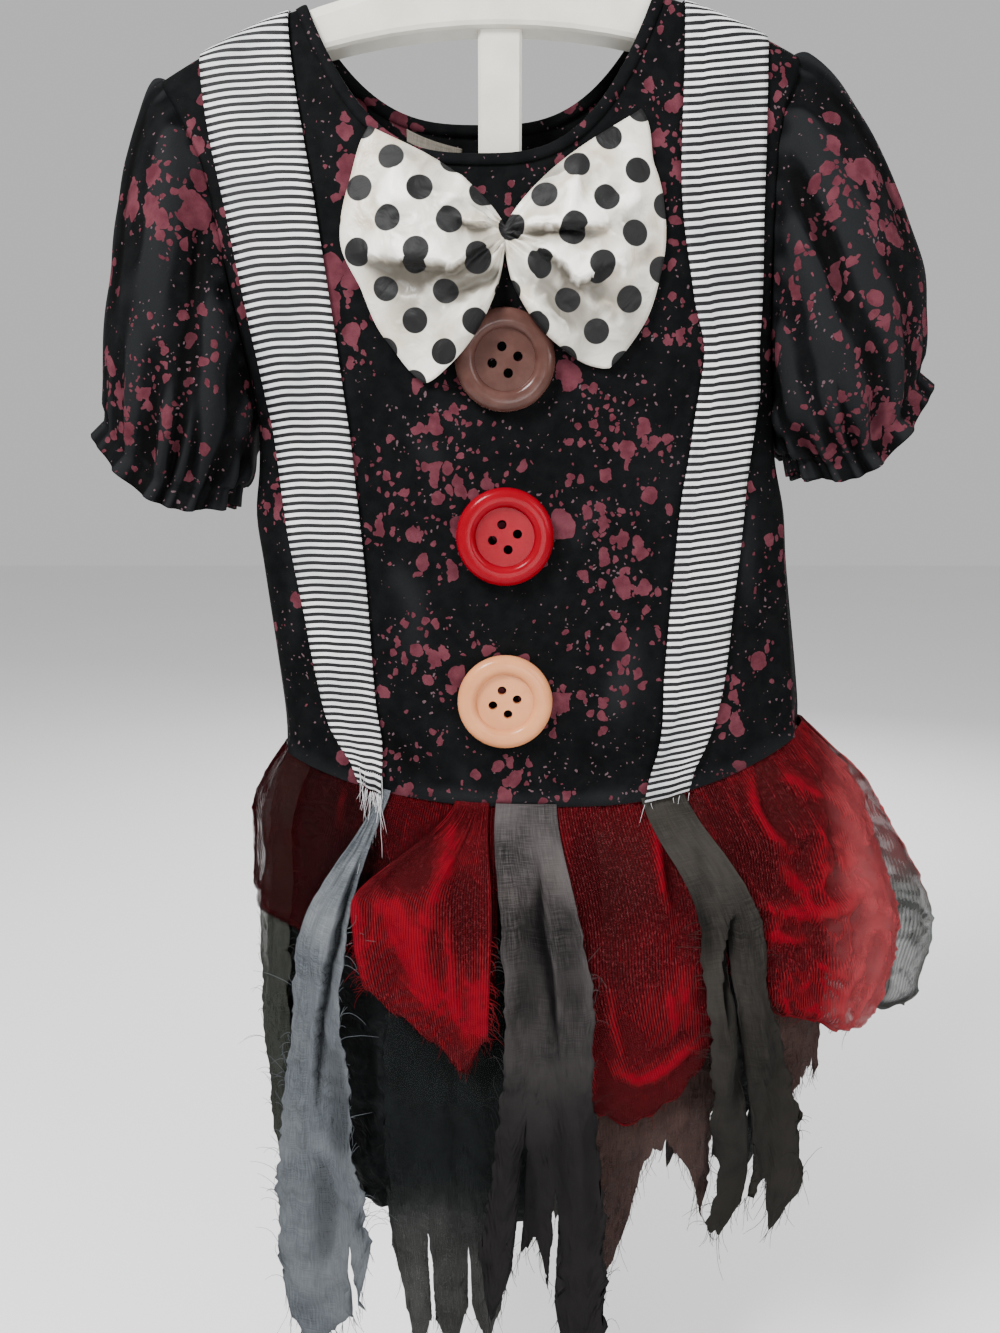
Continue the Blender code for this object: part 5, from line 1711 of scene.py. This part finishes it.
        "overlay_centre": 0.3, "overlay_left": 0.3, "overlay_right": 1.0,
    },
}
skirtCurves = {key: tableCurve(skirt["sections"], place) for place, key in enumerate(skirtColumns)}
hemCurve, swellCurve, puffCurve = (tableCurve(skirt[key]) for key in ("hem", "swells", "puffs"))


def swellOut(angle, drop):
    return swellCurve((angle + 90) % 360 - 90) * puffCurve(drop)


def waistAt(angle):
    turn = np.radians(angle)
    front = waistHeight(np.sin(turn), "front")
    back = waistHeight(np.sin(turn), "back")
    return np.where(np.cos(turn) >= 0, front, back) - bodice["waistGap"]


def skirtPoints(angle, z, lift):
    turn = np.radians(angle)
    inFront = np.cos(turn) >= 0
    drop = np.maximum(0, waistAt(angle) - z)
    curve, half = skirtCurves["square"](drop), skirtCurves["half"](drop)
    depth = np.where(inFront, skirtCurves["front"](drop), skirtCurves["back"](drop))
    x = skirtCurves["centre"](drop) + half * np.sin(turn)
    y = depth * np.maximum(0, 1 - np.abs(np.sin(turn)) ** curve) ** (1 / curve)
    outX, outY = np.sin(turn) / half, -np.cos(turn) / depth
    long = np.hypot(outX, outY)
    wave = np.cos(np.radians(skirt["waves"] * angle)) * 0.75 + np.cos(np.radians(5 * angle + 40)) * 0.4
    away = lift + skirt["gather"] * smooth(drop / 260) * wave
    return np.stack([x + outX / long * away, np.where(inFront, -y, y) + outY / long * away, z], -1)


def makeLining():
    count, rows = skirt["liningGrid"]
    layer = skirt["layers"]["lining"]
    angle, down = spread(np.arange(count) * 360 / count, np.linspace(0, 1, rows))
    turn = np.radians(angle)
    top = waistAt(angle) - 1.6 * np.sin(turn) ** 8
    hem = 4.5 * np.sin(np.radians(angle * 7) + 2 * np.sin(np.radians(angle * 3)))
    hem = hemCurve((angle + 90) % 360 - 90) + hem
    hem = hem + 2.2 * np.sin(np.radians(angle * 23)) + 1.4 * np.sin(np.radians(angle * 61))
    z = mix(top, hem, down)
    points = skirtPoints(angle, z, mix(layer.near, layer.far, smooth((top - z) / 45)))
    most = skirt["liningCrinkle"]
    crinkle = most * np.abs(ripple(points * (1, 1, 0.6), 30, 31))
    crinkle = np.minimum(crinkle + 2.0 * crumple(points * (1, 1, 0.8), 18, 32), most)
    points = points + ringNormals(points) * (crinkle * smooth((top - z) / 60) - 0.8)[..., None]
    # crease marks how far the crinkles stand out, for the painted light on them
    piece = gridMesh("crinkledLining", points, ring=True, marks={"crease": crinkle / most}, size=(1.0, 0.25))
    finishPiece(piece, lining, ("skirt_lining",), skirt["wall"])
    cutSheet(points, ring=True)


def pieceAngle(piece, across, z):
    topZ = waistAt(mix(piece.top[0], piece.top[1], across))
    lowZ = min(piece.ends)
    top, middle, low = (mix(pair[0], pair[1], across) for pair in (piece.top, piece.mid, piece.low))
    upper = mix(middle, top, smooth((z - piece.middle) / (topZ - piece.middle)))
    lower = mix(middle, low, smooth((piece.middle - z) / (piece.middle - lowZ)))
    return np.where(z > piece.middle, upper, lower)


def piecePoints(piece, across, z, extra=0.0):
    layer = skirt["layers"][piece.layer]
    angle = pieceAngle(piece, across, z)
    top = waistAt(mix(piece.top[0], piece.top[1], across))
    z = np.where(z > top - 1, np.minimum(z, waistAt(angle)), z)
    drop = top - z
    settle = smooth(drop / 45)
    edge = 1 - 0.3 * np.abs(2 * across - 1) ** 4 if piece.layer == "overlay" else 1
    lift = mix(layer.near, layer.far, settle) + layer.swell * swellOut(angle, drop) * edge
    lift = lift + piece.flare * smooth(drop / (top - min(piece.ends))) ** 2
    pleat = np.cos(2 * pi * piece.pleats * across) if piece.pleats else 0
    lift = lift + 2.4 * pleat * settle * (1 - 0.6 * smooth(drop / 150)) + extra
    if piece.layer == "overlay":
        lift = lift - 1.6 * smooth(1 - across / 0.05) * smooth(drop / 10)
    return skirtPoints(angle, z, lift)


def endHeights(piece, columns, ragged, seed):
    # the height of a piece's lower edge at each of its columns
    last = len(piece.ends) - 1
    share = np.linspace(0, last, columns)
    low = np.minimum(share.astype(int), last - 1)
    ends = np.array(piece.ends, float)
    heights = mix(ends[low], ends[low + 1], share - low if ragged else smooth(share - low))
    if ragged:
        draw = random.Random(seed)
        for index in range(columns):
            heights[index] += draw.choice((0, 0, 1, 1)) * draw.uniform(-ragged, ragged)
    return heights


def isMesh(piece):
    return piece.layer == "overlay" or piece.name in ("overlay_flap", "sheer_right")


def isBehind(piece):
    return cos(radians(sum(piece.mid) / 2)) < 0


def raggedSides(across, z, drop, wide, seed):
    # how far the long edges of a torn strip wander, as a share of its width
    spots = np.stack([z, across * 0 + seed, across * 40], -1)
    shiver = 0.06 * ripple(spots, 14, seed % 17) + 0.04 * ripple(spots, 4.5, seed % 13)
    return shiver * np.abs(2 * across - 1) ** 6 * smooth((drop - 15) / 90) * 40 / max(wide, 20)


def pieceRelief(piece, across, z, s, drop, wide, long, seed):
    # height, closeness of the weave and shade that folds, creases and gathers give a piece
    look = skirt["mesh" if isMesh(piece) else "strip"]
    if piece.name in skirt["folds"]:
        base = piecePoints(piece, across, z)
        relief, dense, shade = foldRelief(skirt["folds"][piece.name], base[..., 0], base[..., 2])
        relief = relief * look["folds"]
        shade = np.minimum(0.9, shade * look["shade"])
    else:
        folds = gatherFolds(wide, long, max(2, int(wide / 16)), seed, look["gathers"])
        relief, dense, shade = foldRelief(folds, s, drop)
    flat = np.stack([s, across * 0 + seed, drop], -1)
    relief = relief + look["uneven"] * ripple(flat, 30, seed % 13) + 0.7 * ripple(flat, 11, seed % 11)
    crushed = skirt["crushed"].get(piece.name, 0.8 if isMesh(piece) or piece.layer == "under" else 0.3)
    creases = crumple(flat * (1, 1, 0.6), 17, seed % 19) + 0.7 * crumple(flat * (1, 1, 0.75), 8, seed % 23)
    relief = relief + 2.0 * crushed * creases
    dense = dense + look["creaseDense"] * crushed * creases
    shade = shade + look["creaseShade"] * crushed * creases * smooth((drop - 20) / 40)
    limit = 2.4 if piece.layer == "under" else 5.0 if isBehind(piece) and isMesh(piece) else 30.0
    relief = np.clip(relief * smooth(drop / 25), -2.2 * smooth(drop / 60), limit * smooth(drop / 60) + 0.3)
    pucker = np.sin(s * 1.5 + 2.4 * np.sin(s * 0.27 + seed)) * smooth(drop / 6) * (1 - smooth(drop / 45))
    dense = dense + look["puckerDense"] * np.maximum(0, pucker) * smooth(drop / 12)
    return relief + look["pucker"] * pucker, dense, shade


def tearPiece(piece, points, z, ends, seed):
    # the two edges of each rip that runs up from a piece's lower edge
    each = (len(points) - 1) // (len(piece.ends) - 1)
    lean = 1 if cos(radians(piece.top[0])) >= 0 else -1
    split = {}
    for index, start in piece.rips:
        column = index * each
        above = int(np.searchsorted(-z[column], -start))
        above = min(max(above, 2), z.shape[1] - 3)
        fall = np.maximum(0, start - z[column]) / (start - ends[column, 0]) * skirt["ripHalf"]
        sides = []
        for sign in (-1, 1):
            moved = points[column].copy()
            torn = ripple(moved[None] + (0, 90 * sign, 0), 16, seed % 9)[0]
            torn = torn + 0.5 * ripple(moved[None], 6, seed % 5)[0]
            moved[:, 0] += sign * lean * fall * np.maximum(0.15, 1 + 1.1 * torn)
            sides.append(moved)
        split[column] = (above, *sides)
    return split


def makePiece(piece):
    seed = sum(map(ord, piece.name))
    mesh, grid = isMesh(piece), skirt["pieceGrid"]["back" if isBehind(piece) else "front"]
    wide = abs(piece.mid[1] - piece.mid[0]) * skirt["perDegree"]
    long = float(waistAt(np.array(sum(piece.top) / 2))) - min(piece.ends)
    last = len(piece.ends) - 1
    columns = int(max(28, min(100, wide / grid[0])))
    columns = last * max(1, round(columns / last)) + 1
    rows = int(max(36, min(110, long / grid[1])))
    spare = 0.03 * 100 / max(wide, 30) if piece.layer == "overlay" else 0  # laps over its neighbours
    across, down = spread(np.linspace(-spare, 1 + spare, columns), np.linspace(0, 1, rows))
    top = waistAt(mix(piece.top[0], piece.top[1], across))
    ends = endHeights(piece, columns, skirt["mesh" if mesh else "strip"]["ragged"], seed)[:, None]
    z = mix(top, ends, down)
    drop = top - z
    s = across * wide
    if not mesh:
        across = across + raggedSides(across, z, drop, wide, seed)
    relief, dense, shade = pieceRelief(piece, across, z, s, drop, wide, long, seed)
    fromEdge = np.minimum(across, 1 - across) * wide
    if piece.layer == "top" and not mesh:
        rolled = smooth(1 - fromEdge / 7) ** 1.5
        sway = ripple(np.stack([z, np.round(across) * 90 + seed, across * 0], -1), 38, seed % 7)
        relief = relief + rolled * (1.2 + 5.0 * sway) * smooth(drop / 50)
    if mesh:  # its lower edge curls in and its edges are doubled
        curl = smooth((down - 0.90) / 0.1)
        relief = relief - 7 * curl ** 2
        z = z + 5 * curl ** 3
        dense = np.maximum(dense, 0.8 * smooth((down - 0.94) / 0.05))
        dense = np.maximum(dense, 0.45 * smooth(1 - fromEdge / 3))
        dense = np.maximum(dense, 0.3 * (1 - smooth(drop / 30)))
    else:
        shade = np.minimum(0.9, shade + 0.3 * smooth((0.2 - relief) / 2.4) * smooth((drop - 20) / 40))
    if piece.layer == "under":
        dense = smooth((down - 0.35) / 0.35)
    points = piecePoints(piece, across, z, relief)
    for x, height, radius, much in skirt["patches"].get(piece.name, ()):
        away = np.hypot(points[..., 0] - x, points[..., 2] - height)
        dense = dense + much * np.exp(-(away / radius) ** 2)
    marks = {"dense": np.clip(dense, 0, 1), "shade": shade}
    split = tearPiece(piece, points, z, ends, seed)
    made = gridMesh("cloth_" + piece.name, points, rips=split, marks=marks, size=(wide * mm, long * mm))
    material, slot = pieceLooks.get(piece.name, layerLooks[piece.layer])
    finishPiece(made, material, (piece.name,), skirt["wall"])
    trims = looseThreads(piece, points, material, seed)
    cutSheet(points)


# the cloth and the slot of each piece; the other pieces of a layer have the layer's own
layerLooks = {
    "overlay": (meshRed, "red_mesh"),
    "top": (woven["grey"], "grey_cloth"),
    "under": (woven["underGrey"], "grey_cloth"),
}
pieceLooks = {
    "overlay_flap": (meshBright, "red_mesh"),
    "overlay_left": (meshShaded, "red_mesh"),
    "overlay_back_left": (meshShaded, "red_mesh"),
    "tatter_left": (woven["paleVoile"], "light_grey_cloth"),
    "tatter_right": (woven["darkGrey"], "grey_cloth"),
    "sheer_right": (meshSheer, "grey_cloth"),
    "under_centre": (woven["underDusky"], "grey_cloth"),
    "under_right": (woven["underDusky"], "grey_cloth"),
    "under_far_left": (woven["olive"], "grey_cloth"),
}


def frayRoots(points, seed, count):
    # where threads come loose: along the lower edge, and on both sides below the top quarter
    draw = random.Random(seed + 5)
    columns, rows = points.shape[:2]
    roots = []
    for _ in range(count):
        if draw.random() < 0.45:
            column, row = draw.randrange(columns), rows - 1
            way = points[column, -1] - points[column, -3]
        else:
            column = draw.choice((0, columns - 1))
            row = draw.randrange(rows // 4, rows)
            inner = points[1, row] if column == 0 else points[-2, row]
            way = points[column, row] - inner + np.array((0, 0, -0.6))
        way = way / max(np.linalg.norm(way), 1e-6)
        roots.append((points[column, row], way))
    return roots


def looseThreads(piece, points, material, seed):
    threads = skirt["threads"]
    if not isMesh(piece):
        roots = frayRoots(points, seed, threads["back" if isBehind(piece) else "front"])
        return [threadPiece("threads_" + piece.name, roots, material, threads["lengths"], seed)]
    if piece.name not in skirt["fringes"]:
        return []
    roots = frayRoots(points, seed, skirt["fringes"][piece.name])
    roots = [root for root in roots if root[0][2] < threads["fringeTop"]]
    red = woven["redThread"]
    return [threadPiece("fringe_" + piece.name, roots, red, threads["fringeLengths"], seed)]


makeBodice()
print("bodice done")
makeNeckBinding()
makeLabel()
makeStraps()
makeSleeves()
print("sleeves done")
makeBow()
makeButtons()
dressHanger()
print("bow and buttons done")
makeLining()
for onePiece in skirt["pieces"]:
    makePiece(onePiece)
print("skirt done")


# floor, light and camera

stage = {
    "floorSize": 14,
    "floorHeight": -1.02,
    "roomLight": 0.6,
    "lookAt": (0, 0, -0.42),
    "lamps": (  # name, place, size and power
        ("keyLamp", (-1.0, -1.15, 1.1), 0.6, 92),
        ("fillLamp", (1.3, -1.2, 0.3), 1.0, 22),
        ("frontLamp", (0.2, -1.6, -0.5), 0.5, 8),
        ("backLamp", (0.5, 1.6, 0.5), 1.2, 34),
    ),
    "lens": 27.0,
    "film": 36,
    "camera": (0, -0.605, -0.3226),
    "cameraFall": 11,  # degrees below level
}


def makeStage():
    bpy.ops.mesh.primitive_plane_add(size=stage["floorSize"], location=(0, 0, stage["floorHeight"]))
    floor = bpy.context.object
    floor.name = "paleFloor"
    floor.data.materials.append(plainFloor())
    bpy.ops.object.transform_apply(location=True, rotation=True, scale=True)
    world = bpy.context.scene.world or bpy.data.worlds.new("soft white room")
    bpy.context.scene.world = world
    world.use_nodes = True
    back = world.node_tree.nodes["Background"]
    back.inputs[0].default_value = (1, 1, 1, 1)
    back.inputs[1].default_value = stage["roomLight"]
    for name, spot, size, power in stage["lamps"]:
        light = bpy.data.lights.new(name, "AREA")
        light.energy = power
        light.size = size
        lamp = bpy.data.objects.new(name, light)
        lamp.location = spot
        way = Vector(stage["lookAt"]) - Vector(spot)
        lamp.rotation_euler = way.to_track_quat("-Z", "Y").to_euler()
        bpy.context.scene.collection.objects.link(lamp)


def makeCamera():
    lens = bpy.data.cameras.new("view")
    lens.lens = stage["lens"]
    lens.sensor_width = stage["film"]
    camera = bpy.data.objects.new("view", lens)
    camera.location = stage["camera"]
    camera.rotation_euler = (radians(90 - stage["cameraFall"]), 0, 0)
    bpy.context.scene.collection.objects.link(camera)
    bpy.context.scene.camera = camera


makeStage()
makeCamera()
print("stage ready")
